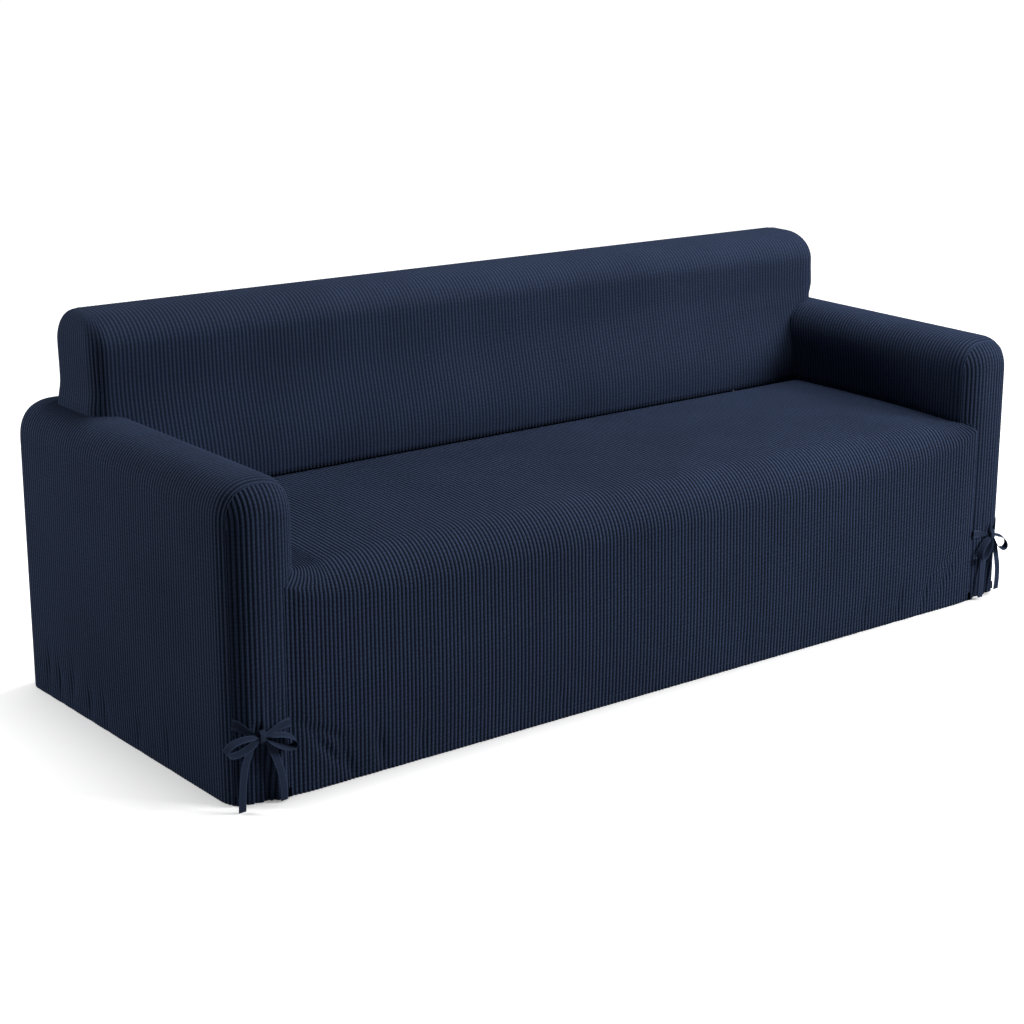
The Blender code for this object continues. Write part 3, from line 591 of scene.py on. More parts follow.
def arm(word, side, material, sizes):
    """Outer side, rounded top and inner side of an arm, cut away where the back stands."""
    pitch = sizes.rib_pitch
    seam_run = ARM_FRONT_ROUND * (QUARTER - SEAM_ANGLE)
    flat_run = REAR - ARM_REAR_ROUND - (FRONT + ARM_FRONT_ROUND)
    rear_run = ARM_REAR_ROUND * QUARTER
    number = round((seam_run + flat_run + rear_run) / pitch)
    along = np.linspace(0, seam_run + flat_run + rear_run, number * 4 + 1)
    start = FRONT + ARM_FRONT_ROUND
    meet = seam_run + FOOT_FRONT - SEAM - start
    split = int(round(meet / along[-1] * number)) * 4
    along = np.where(np.arange(len(along)) <= split, along / along[split] * meet,
                     meet + (along - along[split]) / (along[-1] - along[split]) * (along[-1] - meet))
    turn = np.minimum(SEAM_ANGLE + along / ARM_FRONT_ROUND, QUARTER)
    setback, inset = front_round(turn)
    y = np.where(along < seam_run, FRONT + setback, start + along - seam_run)
    rear_turn = np.clip((seam_run + flat_run + rear_run - along) / ARM_REAR_ROUND, 0, QUARTER)
    in_rear = along > seam_run + flat_run
    rear_setback, rear_inset = rear_round(rear_turn)
    y = np.where(in_rear, REAR - rear_setback, y)
    inset = np.where(in_rear, rear_inset, inset)
    near = np.minimum(y - FOOT_FRONT, BACK_REAR - y)
    bend = np.arccos(np.clip(1 - np.clip(near, 0, END_ROUND) / END_ROUND, -1, 1))
    limit = crown_angle(ARM_CENTRE - BACK_FLAT - END_ROUND * np.sin(bend))
    limit[:split + 1] = NOTCH_ANGLE
    rows = []
    for part in np.concatenate([[0.0], np.linspace(0.002, 0.16, 14), np.linspace(0.16, 1, 22)[1:]]):
        z = SPRING * part
        swell = SIDE_SWELL * np.sin(math.pi * part ** 0.8)
        swell = swell * np.sin(math.pi * np.clip((y - FRONT) / DEPTH, 0, 1))
        out = swell - pucker(f"side_{word}", y, z)
        rows.append(points_of(side * (HALF - inset + out), y, z))
    lower = np.array(rows)
    rows = []
    for part in np.linspace(0, 1, 19):
        across, z = crown(limit * part, inset)
        rows.append(points_of(side * (ARM_CENTRE - across), y, z))
    upper = np.array(rows)
    rows = []
    front = slice(0, split + 1)

    def leaned(z):
        reach = mix(start, back_front(z) - SEAM, (y[front] - start) / (FOOT_FRONT - SEAM - start))
        return np.where(y[front] > start, reach, y[front])

    for angle in np.linspace(NOTCH_ANGLE, math.pi, 9):
        across, z = crown(angle, inset[front])
        rows.append(points_of(side * (ARM_CENTRE - across), leaned(z), z))
    foot = seat_height(side, leaned(SEAT_HEIGHT)) + SEAM
    for part in np.linspace(0, 1, 8)[1:]:
        z = mix(SPRING, foot, part)
        rows.append(points_of(side * (ARM_INNER + inset[front]), leaned(z), z))
    inner = np.array(rows)
    within = (side * ARM_CENTRE, 0, SPRING / 2)
    body = np.concatenate([lower, upper[1:]])
    sewn = [hem_stitches(f"arm_{word}", [hem_line(body, within)], sizes)]
    body = hemmed(body[::-1], within)[::-1]
    ribs = np.arange(len(along)) / 4
    whole = np.concatenate([body[:, front], inner[1:]])
    whole = turned(whole, within, last=True, left=True)
    behind = turned(body[:, split:], within, right=True)
    grids = [grid_of(whole, np.concatenate([[0, 0], ribs[front]])),
             grid_of(behind, np.concatenate([ribs[split:], [ribs[-1]] * 2]))]
    return ribbed_sheet(f"arm_{word}_cloth", grids, within, material, sizes), sewn


def crown_inset(across, rise):
    """How far inside the arm's outline a point of its front lies, above the spring line."""
    low, high = np.zeros(np.shape(across)), np.full(np.shape(across), ARM_WIDTH / 2 - 1e-5)
    for _ in range(30):
        middle = (low + high) / 2
        reach = (np.abs(across) / (ARM_WIDTH / 2 - middle)) ** CROWN_CURVE
        reach = reach + (np.maximum(rise, 0) / (ARM_CROWN - middle)) ** CROWN_CURVE
        low = np.where(reach < 1, middle, low)
        high = np.where(reach < 1, high, middle)
    return (low + high) / 2


def arm_front(word, side, material, sizes):
    """The rounded front of an arm, with the pleat drawn in under its bow."""
    pitch = sizes.rib_pitch
    round_run = ARM_FRONT_ROUND * SEAM_ANGLE
    flat_run = ARM_WIDTH - 2 * ARM_FRONT_ROUND
    number = round((2 * round_run + flat_run) / pitch)
    run = np.linspace(0, 2 * round_run + flat_run, number * 4 + 1) - round_run - flat_run / 2
    turn = np.clip((np.abs(run) - flat_run / 2) / ARM_FRONT_ROUND, 0, SEAM_ANGLE)
    roll_top = roll_point(side, 0)[1]
    roll_foot = roll_point(side, QUARTER)[1]

    def inner_limit(z):
        if z >= roll_top:
            return SEAM_ANGLE
        if z <= roll_foot:
            return LAP_ANGLE
        bend = math.acos(np.clip(1 - (roll_top - z) / seat_roll(side), 0, 1))
        return float(np.clip(front_angle(seat_roll(side) * (1 - math.sin(bend))), LAP_ANGLE, SEAM_ANGLE))

    def place(across, inset, z):
        angle = np.arcsin(np.clip(1 - inset / ARM_FRONT_ROUND, 0, 1))
        setback = front_round(angle)[0]
        x = ARM_CENTRE - across
        drawn = pleat(side * x, z) * (1 - ease(setback / SEAM_SETBACK))
        return points_of(side * x, FRONT + setback + drawn, z)

    rows = []
    heights = np.concatenate([np.linspace(0, 0.2, 41), np.linspace(0.2, SPRING, 30)[1:]])
    for z in heights:
        angle = np.where(run > 0, np.minimum(turn, inner_limit(z)), turn)
        inset = front_round(angle)[1]
        inset = np.where(np.abs(run) < flat_run / 2, ARM_WIDTH / 2 - np.abs(run), inset)
        across = np.sign(run) * (ARM_WIDTH / 2 - inset)
        rows.append(place(across, inset, np.full(across.shape, z)))
    seam_inset = front_round(SEAM_ANGLE)[1]
    share = np.abs(across) / (ARM_WIDTH / 2 - seam_inset)
    rise = (ARM_CROWN - seam_inset) * np.maximum(1 - share ** CROWN_CURVE, 0) ** (1 / CROWN_CURVE)
    for part in np.linspace(0, 1, 19)[1:]:
        inset = crown_inset(across, rise * part)
        inset = np.maximum(inset, seam_inset)
        rows.append(place(across, inset, SPRING + rise * part))
    points = np.array(rows)[::-1]
    within = (side * ARM_CENTRE, 0, SPRING / 2)
    off = points + normals_of(points, within) * STITCH_OUT
    seam = np.concatenate([off[::-1, 0], off[0, 1:-1], off[:, -1]])
    sewn = [hem_stitches(f"arm_front_{word}", [hem_line(points, within)], sizes),
            stitches(f"arm_front_{word}_seam", [seam], thread_for(sizes), SEAM_PITCH, SEAM_LENGTH,
                     SEAM_THICK)]
    points = hemmed(points, within)
    points = turned(points, within, left=True, right=True)
    ribs = np.concatenate([[0, 0], np.arange(len(run)) / 4, [number, number]])
    return ribbed_sheet(f"arm_front_{word}_cloth", [grid_of(points, ribs)], within, material, sizes), sewn


def inside_back(material, sizes):
    """Front of the backrest, round both ends and over the top to the rear seam."""
    ribs, spread = across_ribs(BACK_FLAT, sizes)
    whole = BACK_FLAT
    y_front = back_front(BACK_SPRING) + TOP_FRONT_BEND
    y_rear = BACK_REAR - TOP_REAR_BEND

    def lift(x, z):
        share = ease((z - ARM_HEIGHT) / (BACK_SPRING - ARM_HEIGHT))
        return z + (back_top(x) - BACK_HEIGHT) * share

    def over_top(x, angle):
        return lift(x, BACK_SPRING) + TOP_RISE * math.sin(angle)

    rim_angles = np.linspace(math.pi, NOTCH_ANGLE, 10)
    rim_across, rim_z = crown(rim_angles, 0)
    rows = []
    half = ARM_INNER - SEAM
    foot = seat_height(np.clip(spread * whole / half, -1, 1), BACK_FRONT) + SEAM
    for part in np.linspace(0, 1, 9)[:-1]:
        z = mix(foot, SPRING, part)
        rows.append((half, z))
    for across, z in zip(rim_across, rim_z):
        rows.append((ARM_CENTRE - across - SEAM, z))
    corner_half, corner_z = rows[-1]
    upper = np.linspace(corner_z, BACK_SPRING, 15)[1:]
    for z in upper:
        rows.append((mix(corner_half, BACK_FLAT, ease((z - corner_z) / CORNER_RISE)), z))
    front = []
    for half, z in rows:
        x = np.clip(spread * whole, -half, half)
        rise = np.clip((z - SEAT_HEIGHT) / (BACK_SPRING - SEAT_HEIGHT), 0, 1)
        swell = BACK_SWELL * np.sin(math.pi * rise) * (1 - (x / half) ** 4)
        front.append(points_of(x, back_front(z) - swell, lift(x, z)))
    x = spread * BACK_FLAT
    for angle in np.linspace(0, QUARTER, 15)[1:]:
        y = y_front - TOP_FRONT_BEND * math.cos(angle)
        front.append(points_of(x, y, over_top(x, angle)))
    for y in np.linspace(y_front, y_rear, 4)[1:]:
        front.append(points_of(x, y, over_top(x, QUARTER)))
    for angle in np.linspace(QUARTER, 0, 11)[1:]:
        y = y_rear + TOP_REAR_BEND * math.cos(angle)
        front.append(points_of(x, y, over_top(x, angle)))
    front = np.array(front)
    within = (0, (BACK_FRONT + BACK_REAR) / 2, ARM_HEIGHT)
    front = turned(front, within, first=True, last=True)
    grids = [grid_of(front, ribs)]

    # Each rounded end from above: how far out it stands, and how far behind the front
    deep = BACK_REAR - FOOT_FRONT
    runs = (END_ROUND * QUARTER, deep - 2 * END_ROUND, END_ROUND * QUARTER)
    bend, flat = (round(run / sizes.rib_pitch) * 4 for run in runs[:2])
    turn = np.linspace(0, QUARTER, bend + 1)
    out = END_ROUND * np.concatenate([np.sin(turn), np.ones(flat - 1), np.sin(turn[::-1])])
    behind = np.linspace(END_ROUND, deep - END_ROUND, flat + 1)[1:-1]
    near = END_ROUND * (1 - np.cos(turn))
    behind = np.concatenate([near, behind, deep - near[::-1]])
    end_ribs = np.arange(len(out)) / 4
    foot_end = crown(crown_angle(ARM_CENTRE - BACK_FLAT - out), 0)[1] + SEAM * ease(out / END_LIP)
    for side in (-1, 1):
        rows = []
        for z in np.concatenate([[corner_z], upper]):
            part = (z - corner_z) / (BACK_SPRING - corner_z)
            half = mix(corner_half, BACK_FLAT, np.maximum(np.clip(out / END_LIP, 0, 1),
                                                          ease((z - corner_z) / CORNER_RISE)))
            bulge = end_bulge(side, part) * ease(out / END_ROUND)
            x = side * (half + out + bulge)
            y = mix(back_front(z), BACK_REAR, behind / deep)
            rows.append(points_of(x, y, lift(x, mix(foot_end, BACK_SPRING, part))))
        middle = np.clip(y, y_front, y_rear)
        for angle in np.linspace(0, QUARTER, 15)[1:]:
            scale = math.cos(angle)
            x = side * (BACK_FLAT + (out + bulge) * scale ** END_SQUARE)
            rows.append(points_of(x, middle + (y - middle) * scale, over_top(x, angle)))
        points = turned(np.array(rows), within, right=True)
        calm = np.concatenate([np.ones(len(rows) - 14), np.linspace(1, 0, 14)])[:, None]
        columns = np.concatenate([end_ribs, [end_ribs[-1]] * 2])
        grids.append(grid_of(points, columns, calm))
    return ribbed_sheet("inside_back_cloth", grids, within, material, sizes)


def outside_back(material, sizes):
    """The rear: wide below, up to the arms, and as wide as the back above them."""
    rim_turn = np.linspace(0, QUARTER, 8)
    setback, inset = rear_round(rim_turn)
    rim_across, rim_z = crown(NOTCH_ANGLE, inset + SEAM)
    low_half = ARM_CENTRE - rim_across[0] - SEAM
    low_top = rim_z[0]
    ribs, spread = across_ribs(low_half, sizes)

    def lean(z, y_edge):
        leaning = mix(REAR, BACK_REAR, ease((z - REAR_LEAN_FROM) / (BACK_SPRING - REAR_LEAN_FROM)))
        return mix(leaning, y_edge, spread ** REAR_CURVE)

    rows = []
    for part in REAR_STEPS:
        z = low_top * part
        rows.append(points_of(spread * low_half, lean(z, REAR), z))
    for back, across, z in zip(setback[1:], rim_across[1:], rim_z[1:]):
        half = ARM_CENTRE - across - SEAM
        rows.append(points_of(spread * half, lean(z, REAR - back), z))
    base = rim_z[-1]
    ledge = mix(base + REAR_LEDGE, base, spread ** REAR_CURVE)
    for part in np.linspace(0, 1, 6)[1:]:
        z = mix(base, ledge, part)
        y_edge = mix(REAR - setback[-1], BACK_REAR, part)
        rows.append(points_of(spread * (BACK_FLAT - SEAM), lean(z, y_edge), z))
    for z in np.linspace(base + REAR_LEDGE, BACK_SPRING - SEAM, 7)[1:]:
        x = spread * (BACK_FLAT - SEAM)
        share = (z - base) / (BACK_SPRING - base)
        tilt = (back_top(x) - BACK_HEIGHT) * ease((z - ARM_HEIGHT) / (BACK_SPRING - ARM_HEIGHT)) * ease(share)
        rows.append(points_of(x, lean(z, BACK_REAR), z + tilt))
    within = (0, 0, SPRING / 2)
    main = np.array(rows)
    hems = [hem_line(main, within)]
    main = hemmed(main[::-1], within)[::-1]
    main = turned(main, within, last=True)
    grids = [grid_of(main, ribs)]
    angles = np.linspace(0, NOTCH_ANGLE, 8 * 4 + 1)
    across, top = crown(angles, ARM_REAR_ROUND + SEAM)
    for side in (-1, 1):
        rows = [points_of(side * (ARM_CENTRE - across), REAR, top * part) for part in REAR_STEPS]
        hems.append(hem_line(np.array(rows), within))
        points = hemmed(np.array(rows)[::-1], within)[::-1]
        points = turned(points, within, left=True)
        columns = np.concatenate([[0, 0], np.arange(33) / 4])
        grids.append(grid_of(points, columns))
    sewn = [hem_stitches("outside_back", hems, sizes)]
    return ribbed_sheet("outside_back_cloth", grids, within, material, sizes), sewn


# The ties

def smooth_line(points, count):
    """A smooth line through points, evenly spaced."""
    points = np.asarray(points, float)
    padded = np.concatenate([[2 * points[0] - points[1]], points, [2 * points[-1] - points[-2]]])
    fine = []
    for i in range(len(points) - 1):
        a, b, c, d = padded[i:i + 4]
        for t in np.linspace(0, 1, 12, endpoint=False):
            fine.append(0.5 * (2 * b + (c - a) * t + (2 * a - 5 * b + 4 * c - d) * t * t
                               + (3 * b - a - 3 * c + d) * t ** 3))
    fine.append(points[-1])
    fine = np.array(fine)
    length = np.concatenate([[0], np.cumsum(np.linalg.norm(np.diff(fine[:, :3], axis=0), axis=1))])
    wanted = np.linspace(0, length[-1], count)
    return np.stack([np.interp(wanted, length, fine[:, i]) for i in range(fine.shape[1])], axis=-1)


def add_strip(bm, layer, line):
    """A flat strip with soft edges along a line of middles, directions across and widths."""
    middles, across, width = line[:, :3], line[:, 3:6], line[:, 6]
    ahead = np.gradient(middles, axis=0)
    ahead /= np.linalg.norm(ahead, axis=1, keepdims=True)
    across = across - ahead * np.sum(across * ahead, axis=1, keepdims=True)
    across /= np.linalg.norm(across, axis=1, keepdims=True)
    through = np.cross(ahead, across)
    turns = np.linspace(0, 2 * math.pi, 16, endpoint=False)
    flat = power(np.cos(turns), 0.45)
    thick = power(np.sin(turns), 0.8) * (0.75 + 0.5 * np.abs(np.cos(turns)) ** 6)
    run = np.concatenate([[0], np.cumsum(np.linalg.norm(np.diff(middles, axis=0), axis=1))])
    rings = []
    for i in range(len(line)):
        spots = (middles[i] + across[i] * (flat * width[i] / 2)[:, None]
                 + through[i] * (thick * TIE_THICK / 2)[:, None])
        rings.append([bm.verts.new(spot) for spot in spots + SHIFT])
    for i, (low, high) in enumerate(zip(rings, rings[1:])):
        for j in range(16):
            k = (j + 1) % 16
            face = bm.faces.new((low[j], low[k], high[k], high[j]))
            for loop, (column, row) in zip(face.loops, ((j, i), (k, i), (k, i + 1), (j, i + 1))):
                loop[layer].uv = (flat[column] * width[row] / 2, run[row])
    bm.faces.new(rings[0][::-1])
    bm.faces.new(rings[-1])


def tie(row, material):
    """One tie of a bow: its sewn root, its loop, its tail and its part of the knot."""
    size = dict(zip(TIE, row))
    knot_in, knot_up = KNOTS[size["bow"]]
    side = -1 if size["bow"] == "left" else 1
    away = side if size["edge"] == "outer" else -side
    start = side * (HALF - knot_in)

    def place(reach, up, out):
        return np.array((start + away * reach, FRONT - out, knot_up + up))

    def station(middle, across, width):
        return np.concatenate([middle, across, [width]])

    droop = math.radians(size["droop"])
    loop = []
    for turn in np.linspace(math.radians(14), math.radians(346), 22):
        along = size["loop"] * (1 - math.cos(turn)) / 2
        rise = size["loop_half"] / 0.77 * math.sin(turn) * math.sin(turn / 2)
        reach = LOOP_START + along * math.cos(droop) + rise * math.sin(droop)
        up = rise * math.cos(droop) - along * math.sin(droop)
        grown = ease(along / size["loop"] * 3)
        lying = math.cos(LOOP_TURN)
        across = np.array((away * math.sin(droop) * lying, math.sin(LOOP_TURN), math.cos(droop) * lying))
        loop.append(station(place(reach, up, mix(KNOT_OUT, LOOP_OUT, grown)), across,
                            mix(TIE_AT_KNOT, TIE_WIDTH, grown)))
    tail = []
    for part in (0.02, 0.06, 0.11, 0.18, 0.28, 0.42, 0.6, 0.8, 1):
        reach = KNOT_HALF + size["tail_side"] * (1 - (1 - part) ** size["tail_bend"])
        width = mix(TIE_AT_KNOT * 0.7, TIE_WIDTH, ease(part * 4))
        across = np.array((away, 0, mix(1, 0, ease(part / 0.12))), float)
        curl = 0.0015 * math.sin(part * 7 + size["tail_bend"])
        tail.append(station(place(reach, -size["tail_drop"] * part, KNOT_OUT + curl), across, width))
    root = []
    flat = HALF - ARM_FRONT_ROUND
    for part in np.linspace(0, 1, 9):
        up = mix(size["root_up"], 0.001, ease(part))
        lift = mix(ROOT_LIFT, KNOT_OUT, part ** 3)
        if size["edge"] == "outer":
            last = math.asin(np.clip((HALF - knot_in - flat) / ARM_FRONT_ROUND, -1, 1))
            turn = mix(SEAM_ANGLE, last, part)
            spot = ARM_FRONT_ROUND + lift
            middle = np.array((side * (flat + spot * math.sin(turn)),
                               FRONT + ARM_FRONT_ROUND - spot * math.cos(turn), knot_up + up))
        else:
            far = HALF - knot_in - (ARM_INNER + SKIRT_LAP)
            middle = place(mix(far, KNOT_HALF, part), up, lift)
        root.append(station(middle, np.array((0, 0, 1.0)), mix(size["root_width"], TIE_AT_KNOT, ease(part))))
    bm = bmesh.new()
    layer = bm.loops.layers.uv.new("cloth")
    for points, count in ((loop, 90), (tail, 70), (root, 40)):
        add_strip(bm, layer, smooth_line(points, count))
    name = f"tie_{size['bow']}_{size['edge']}"
    add_knot(bm, layer, place, size["edge"] == "outer")
    bmesh.ops.recalc_face_normals(bm, faces=bm.faces[:])
    mesh = bpy.data.meshes.new(name + "_cloth")
    bm.to_mesh(mesh)
    bm.free()
    mesh.shade_smooth()
    mesh.materials.append(material)
    obj = bpy.data.objects.new(name + "_cloth", mesh)
    bpy.context.collection.objects.link(obj)
    return obj, name


def add_knot(bm, layer, place, wraps):
    """The knot: one tie's band wraps round both, the other's is a small tuck under it."""
    turns = np.linspace(0, 2 * math.pi, 33)
    reach = 0.0 if wraps else KNOT_HALF
    half_up, half_out = (0.0125, 0.0072) if wraps else (0.0100, 0.0052)
    line = []
    for turn in turns:
        middle = place(reach, half_up * math.cos(turn), KNOT_OUT + half_out * math.sin(turn))
        line.append(np.concatenate([middle, (1, 0, 0.10), [0.0125 if wraps else 0.006]]))
    add_strip(bm, layer, np.array(line))


# Finishes

def nodes_for(name):
    made = bpy.data.materials.new(name)
    made.use_nodes = True
    tree = made.node_tree
    return made, tree, tree.nodes["Principled BSDF"]


def linked(tree, kind, inputs, **settings):
    """A shader node with its settings, and its inputs set or linked."""
    node = tree.nodes.new(kind)
    for key, value in settings.items():
        setattr(node, key, value)
    for key, value in inputs.items():
        if isinstance(value, bpy.types.NodeSocket):
            tree.links.new(value, node.inputs[key])
        else:
            node.inputs[key].default_value = value
    return node


def maths(tree, operation, first, second=0.0):
    return linked(tree, "ShaderNodeMath", {0: first, 1: second}, operation=operation).outputs[0]


def noise(tree, place, scale, detail):
    return linked(tree, "ShaderNodeTexNoise", {"Vector": place, "Scale": scale, "Detail": detail}).outputs[0]


def colour_mix(tree, share, low, high):
    node = linked(tree, "ShaderNodeMix", {0: share, 6: low, 7: high}, data_type="RGBA")
    return node.outputs[2]


def soft_cloth(shader, sizes):
    shader.inputs["Roughness"].default_value = 0.92
    shader.inputs["Specular IOR Level"].default_value = 0.08
    shader.inputs["Sheen Weight"].default_value = sizes.sheen
    shader.inputs["Sheen Roughness"].default_value = 0.55
    shader.inputs["Sheen Tint"].default_value = (*sizes.sheen_tint, 1)


def ribbed_cloth(name, sizes, contrast):
    """Navy stretch knit: raised ribs crossed by small beads of yarn, with painted shade in the grooves and
    painted light on the crests and beads.
    """
    made, tree, shader = nodes_for(name)
    flat = linked(tree, "ShaderNodeUVMap", {}, uv_map="cloth")
    parts = linked(tree, "ShaderNodeSeparateXYZ", {0: flat.outputs[0]})
    place = linked(tree, "ShaderNodeTexCoord", {}).outputs["Object"]
    crest = wave(tree, parts.outputs[0], 1.5)
    drift = noise(tree, place, 28.0, 2.0)
    bead = wave(tree, maths(tree, "ADD", parts.outputs[1], mixed(tree, drift, -1.0, 1.0)), 0.8)
    yarn = noise(tree, place, 330.0, 3.0)
    cloud = noise(tree, place, 6.0, 4.0)
    beaded = maths(tree, "MULTIPLY", crest, mixed(tree, bead, 0.66, 1.0))
    tone = maths(tree, "MULTIPLY", beaded, mixed(tree, yarn, 0.35, 1.65))
    # Painted shade in the grooves and painted light on the crests and beads: the tone runs from the groove
    # colour to the crest colour, more steeply with contrast, which also scales the bump
    tone = mixed(tree, tone, MEAN_TONE * (1 - contrast), MEAN_TONE * (1 - contrast) + contrast)
    colour = colour_mix(tree, tone, (*sizes.groove, 1), (*sizes.crest, 1))
    worn = mixed(tree, cloud, 0.8, 1.2)
    grey = linked(tree, "ShaderNodeCombineColor", {0: worn, 1: worn, 2: worn}).outputs[0]
    tinted = linked(tree, "ShaderNodeMix", {0: 1.0, 6: colour, 7: grey}, data_type="RGBA",
                    blend_type="MULTIPLY")
    tree.links.new(tinted.outputs[2], shader.inputs["Base Color"])
    height = maths(tree, "ADD", beaded, maths(tree, "MULTIPLY", yarn, 0.3))
    bump = linked(tree, "ShaderNodeBump", {"Height": height, "Strength": 0.9 * contrast, "Distance": 0.0012})
    tree.links.new(bump.outputs[0], shader.inputs["Normal"])
    soft_cloth(shader, sizes)
    return made


def wave(tree, count, sharp):
    """Rounded crests, one for each whole number of a count, raised to a power."""
    turn = maths(tree, "MULTIPLY", count, math.pi)
    return maths(tree, "POWER", maths(tree, "ABSOLUTE", maths(tree, "SINE", turn)), sharp)


def mixed(tree, share, low, high):
    """A number that runs from low to high with share."""
    return maths(tree, "ADD", maths(tree, "MULTIPLY", share, high - low), low)


def tie_cloth(name, sizes):
    """Flat strip of the same navy, with fine knit rows and paler stitched edges."""
    made, tree, shader = nodes_for(name)
    flat = linked(tree, "ShaderNodeUVMap", {}, uv_map="cloth")
    parts = linked(tree, "ShaderNodeSeparateXYZ", {0: flat.outputs[0]})
    place = linked(tree, "ShaderNodeTexCoord", {}).outputs["Object"]
    rows = maths(tree, "SINE", maths(tree, "MULTIPLY", parts.outputs[1], 2 * math.pi / KNIT_PITCH))
    edge = maths(tree, "ABSOLUTE", parts.outputs[0])
    edge = maths(tree, "GREATER_THAN", edge, TIE_WIDTH * TIE_PLAIN)
    yarn = noise(tree, place, 1200.0, 3.0)
    tone = maths(tree, "ADD", mixed(tree, yarn, 0.25, 0.85), maths(tree, "MULTIPLY", edge, 0.35))
    colour = colour_mix(tree, tone, (*sizes.groove, 1), (*sizes.tie, 1))
    tree.links.new(colour, shader.inputs["Base Color"])
    height = maths(tree, "ADD", maths(tree, "MULTIPLY", rows, 0.3), yarn)
    bump = linked(tree, "ShaderNodeBump", {"Height": height, "Strength": 0.5, "Distance": 0.0006})
    tree.links.new(bump.outputs[0], shader.inputs["Normal"])
    soft_cloth(shader, sizes)
    return made


# Settings, operators and panel

class CoverSettings(bpy.types.PropertyGroup):
    rib_pitch: FloatProperty(name="Rib Pitch", description="Distance from rib to rib", default=0.0095,
                             unit="LENGTH")
    rib_height: FloatProperty(name="Rib Height", description="How far a rib stands proud", default=0.0013,
                              unit="LENGTH")
    bead_pitch: FloatProperty(name="Bead Pitch", description="Distance between the beads along a rib",
                              default=0.0085, unit="LENGTH")
    stitch_pitch: FloatProperty(name="Stitch Pitch", description="Distance from stitch to stitch along a hem",
                                default=0.0035, unit="LENGTH")
    sheen: FloatProperty(name="Sheen", description="Soft fuzz on the cloth", default=0.012, subtype="FACTOR")
    sheen_tint: FloatVectorProperty(name="Sheen Tint", description="Colour of the fuzz", subtype="COLOR",
                                    default=(0.55, 0.65, 1.0))
    # Crest and groove colours: painted light on the rib crests and painted shade in the grooves
    crest: FloatVectorProperty(name="Rib Crest", description="Colour on top of the ribs", subtype="COLOR",
                               default=(0.0365, 0.0560, 0.1120))
    groove: FloatVectorProperty(name="Rib Groove", description="Colour between the ribs", subtype="COLOR",
                                default=(0.0018, 0.0030, 0.0072))
    tie: FloatVectorProperty(name="Tie", description="Colour of the ties", subtype="COLOR",
                             default=(0.042, 0.062, 0.118))


class CoverOperator:
    bl_options = {"REGISTER", "UNDO"}

    def sizes(self, context):
        return context.scene.sofa_cover


class SOFACOVER_OT_seat(CoverOperator, bpy.types.Operator):
    """Make the seat, its rolled front edge and the skirt"""
    bl_idname = "sofa_cover.seat"
    bl_label = "Seat and Skirt"

    def execute(self, context):
        sizes = self.sizes(context)
        made, sewn = seat_and_skirt(ribbed_cloth("seat_and_skirt_cloth", sizes, 1.0), sizes)
        finish_sheet(made, "seat_and_skirt")
        return {"FINISHED"}


class SOFACOVER_OT_backs(CoverOperator, bpy.types.Operator):
    """Make the inside and the outside of the back"""
    bl_idname = "sofa_cover.backs"
    bl_label = "Back Panels"

    def execute(self, context):
        sizes = self.sizes(context)
        made = inside_back(ribbed_cloth("inside_back_cloth", sizes, 0.5), sizes)
        finish_sheet(made, "inside_back")
        made, sewn = outside_back(ribbed_cloth("outside_back_cloth", sizes, 0.6), sizes)
        finish_sheet(made, "outside_back")
        return {"FINISHED"}


class SOFACOVER_OT_arms(CoverOperator, bpy.types.Operator):
    """Make both arms and their fronts"""
    bl_idname = "sofa_cover.arms"
    bl_label = "Arms"

    def execute(self, context):
        sizes = self.sizes(context)
        for word, side in (("left", -1), ("right", 1)):
            made, sewn = arm(word, side, ribbed_cloth(f"arm_{word}_cloth", sizes, 0.7), sizes)
            finish_sheet(made, f"arm_{word}")
            made, sewn = arm_front(word, side, ribbed_cloth(f"arm_front_{word}_cloth", sizes, 0.8), sizes)
            finish_sheet(made, f"arm_front_{word}")
        return {"FINISHED"}


class SOFACOVER_OT_ties(CoverOperator, bpy.types.Operator):
    """Make the ties of both bows"""
    bl_idname = "sofa_cover.ties"
    bl_label = "Ties"

    def execute(self, context):
        sizes = self.sizes(context)
        material = tie_cloth("tie_cloth", sizes)
        for row in TIES:
            made, node = tie(row, material)
            finish_sheet(made, node)
        return {"FINISHED"}


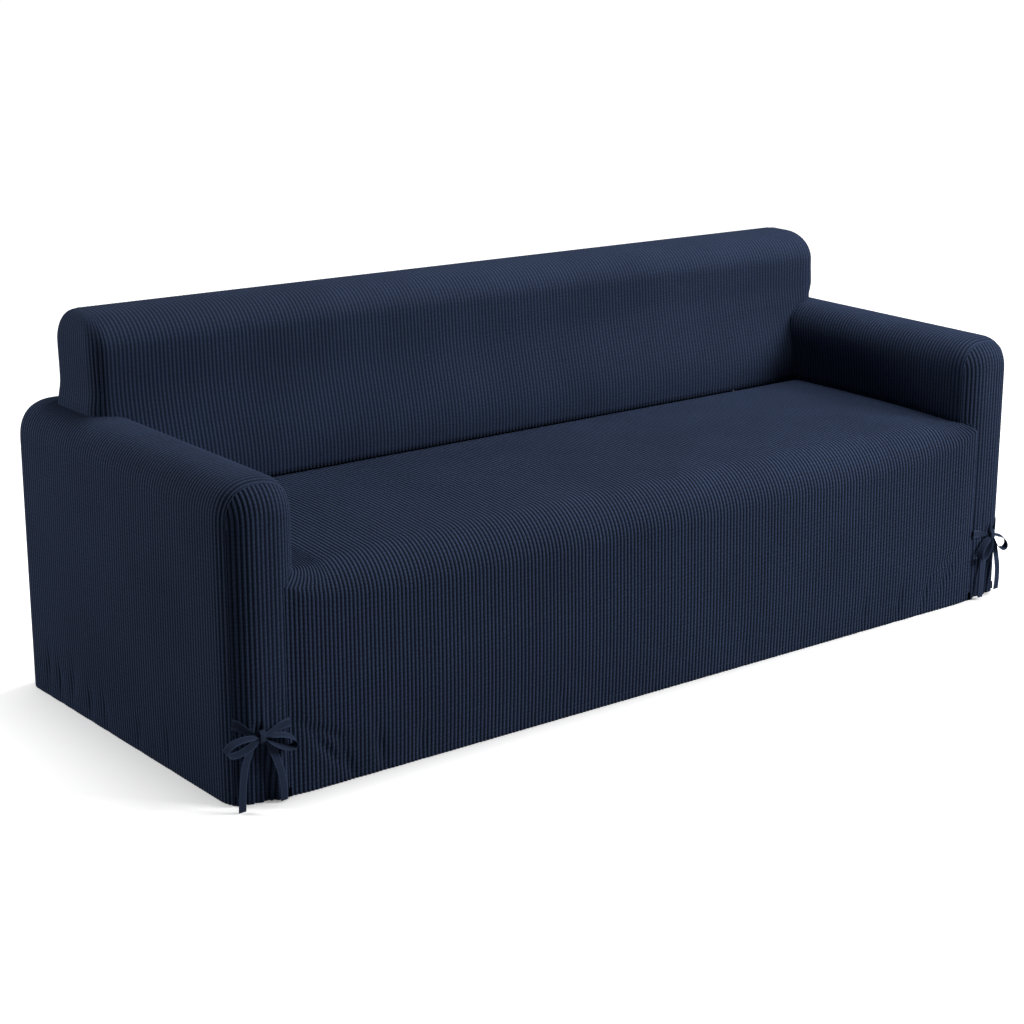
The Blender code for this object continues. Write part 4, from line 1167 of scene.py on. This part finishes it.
class SOFACOVER_OT_stage(bpy.types.Operator):
    """Make the floor, which glows for the camera with a painted contact shadow, the lights and the camera"""
    bl_idname = "sofa_cover.stage"
    bl_label = "Stage"

    def execute(self, context):
        scene = context.scene
        mesh = bpy.data.meshes.new("floor")
        reach = FLOOR_REACH
        mesh.from_pydata([(-reach, -reach, 0), (reach, -reach, 0), (reach, reach, 0), (-reach, reach, 0)], [],
                         [(0, 1, 2, 3)])
        made, tree, shader = nodes_for("floor")
        # For camera rays the floor glows as painted light, dimmer near the cover and darkened beside it by
        # ambient occlusion as a painted contact shadow; other rays see a faint glow and a darker base colour
        seen = linked(tree, "ShaderNodeLightPath", {}).outputs["Is Camera Ray"]
        place = linked(tree, "ShaderNodeTexCoord", {}).outputs["Object"]
        away = linked(tree, "ShaderNodeVectorMath", {0: place}, operation="LENGTH").outputs["Value"]
        far = linked(tree, "ShaderNodeMapRange", {0: away, 1: 1.9, 2: 4.5, 3: 0.72, 4: 1.0},
                     interpolation_type="SMOOTHSTEP").outputs[0]
        near = linked(tree, "ShaderNodeAmbientOcclusion", {"Distance": 0.22}, samples=8).outputs["AO"]
        glow_with_painted_shadow = maths(tree, "MULTIPLY", far, near)
        glow = linked(tree, "ShaderNodeMix", {0: seen, 2: 0.05, 3: glow_with_painted_shadow}).outputs[0]
        grey = mixed(tree, seen, 0.3, 0.9)
        pale = linked(tree, "ShaderNodeCombineColor", {0: grey, 1: grey, 2: grey}).outputs[0]
        tree.links.new(pale, shader.inputs["Base Color"])
        tree.links.new(glow, shader.inputs["Emission Strength"])
        shader.inputs["Emission Color"].default_value = (1, 1, 1, 1)
        shader.inputs["Roughness"].default_value = 0.9
        shader.inputs["Specular IOR Level"].default_value = 0.0
        mesh.materials.append(made)
        floor = bpy.data.objects.new("floor", mesh)
        floor.location.z = -FLOOR_DROP
        scene.collection.objects.link(floor)
        world = bpy.data.worlds.new("studio")
        world.use_nodes = True
        tree = world.node_tree
        seen = linked(tree, "ShaderNodeLightPath", {}).outputs["Is Camera Ray"]
        tree.links.new(mixed(tree, seen, 0.045, 1.0), tree.nodes["Background"].inputs["Strength"])
        tree.nodes["Background"].inputs["Color"].default_value = (1, 1, 1, 1)
        scene.world = world
        lights = (
            ("key", (3.0, -3.6, 2.8), (0.2, 0, 0.3), 2.0, 240),
            ("top", (1.1, 0.2, 4.0), (0.1, 0, 0.3), 1.6, 105),
            ("rim", (-3.6, 2.4, 1.8), (-0.6, 0.1, 0.6), 1.2, 95),
        )
        for name, place, target, size, watts in lights:
            data = bpy.data.lights.new(name, "AREA")
            data.size = size
            data.energy = watts
            lamp = bpy.data.objects.new(name, data)
            lamp.location = place
            lamp.rotation_euler = (Vector(target) - Vector(place)).to_track_quat("-Z", "Y").to_euler()
            scene.collection.objects.link(lamp)
        data = bpy.data.cameras.new("camera")
        data.sensor_width = SENSOR
        data.lens = LENS
        data.clip_end = 200
        camera = bpy.data.objects.new("camera", data)
        camera.location = Vector(CAMERA_PLACE) + Vector(SHIFT)
        camera.rotation_euler = (math.radians(90 - CAMERA_DOWN), 0, math.radians(CAMERA_TURN))
        scene.collection.objects.link(camera)
        scene.camera = camera
        scene.view_settings.view_transform = "Standard"
        return {"FINISHED"}


class SOFACOVER_PT_panel(bpy.types.Panel):
    """Sizes and colours of the cover, and its steps"""
    bl_label = "Sofa Cover"
    bl_idname = "SOFACOVER_PT_panel"
    bl_space_type = "VIEW_3D"
    bl_region_type = "UI"
    bl_category = "Sofa Cover"

    def draw(self, context):
        layout = self.layout
        sizes = context.scene.sofa_cover
        for name in ("rib_pitch", "rib_height", "bead_pitch", "stitch_pitch", "sheen", "sheen_tint", "crest",
                     "groove", "tie"):
            layout.prop(sizes, name)
        for step in STEPS:
            layout.operator(step.bl_idname)


STEPS = (SOFACOVER_OT_seat, SOFACOVER_OT_backs, SOFACOVER_OT_arms, SOFACOVER_OT_ties, SOFACOVER_OT_stage)
CLASSES = (CoverSettings, *STEPS, SOFACOVER_PT_panel)


def register():
    for cls in CLASSES:
        bpy.utils.register_class(cls)
    bpy.types.Scene.sofa_cover = PointerProperty(type=CoverSettings)


def unregister():
    del bpy.types.Scene.sofa_cover
    for cls in reversed(CLASSES):
        bpy.utils.unregister_class(cls)


def main():
    register()
    bpy.ops.sofa_cover.seat()
    bpy.ops.sofa_cover.backs()
    bpy.ops.sofa_cover.arms()
    bpy.ops.sofa_cover.ties()
    bpy.ops.sofa_cover.stage()
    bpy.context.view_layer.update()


if __name__ == "__main__":
    main()
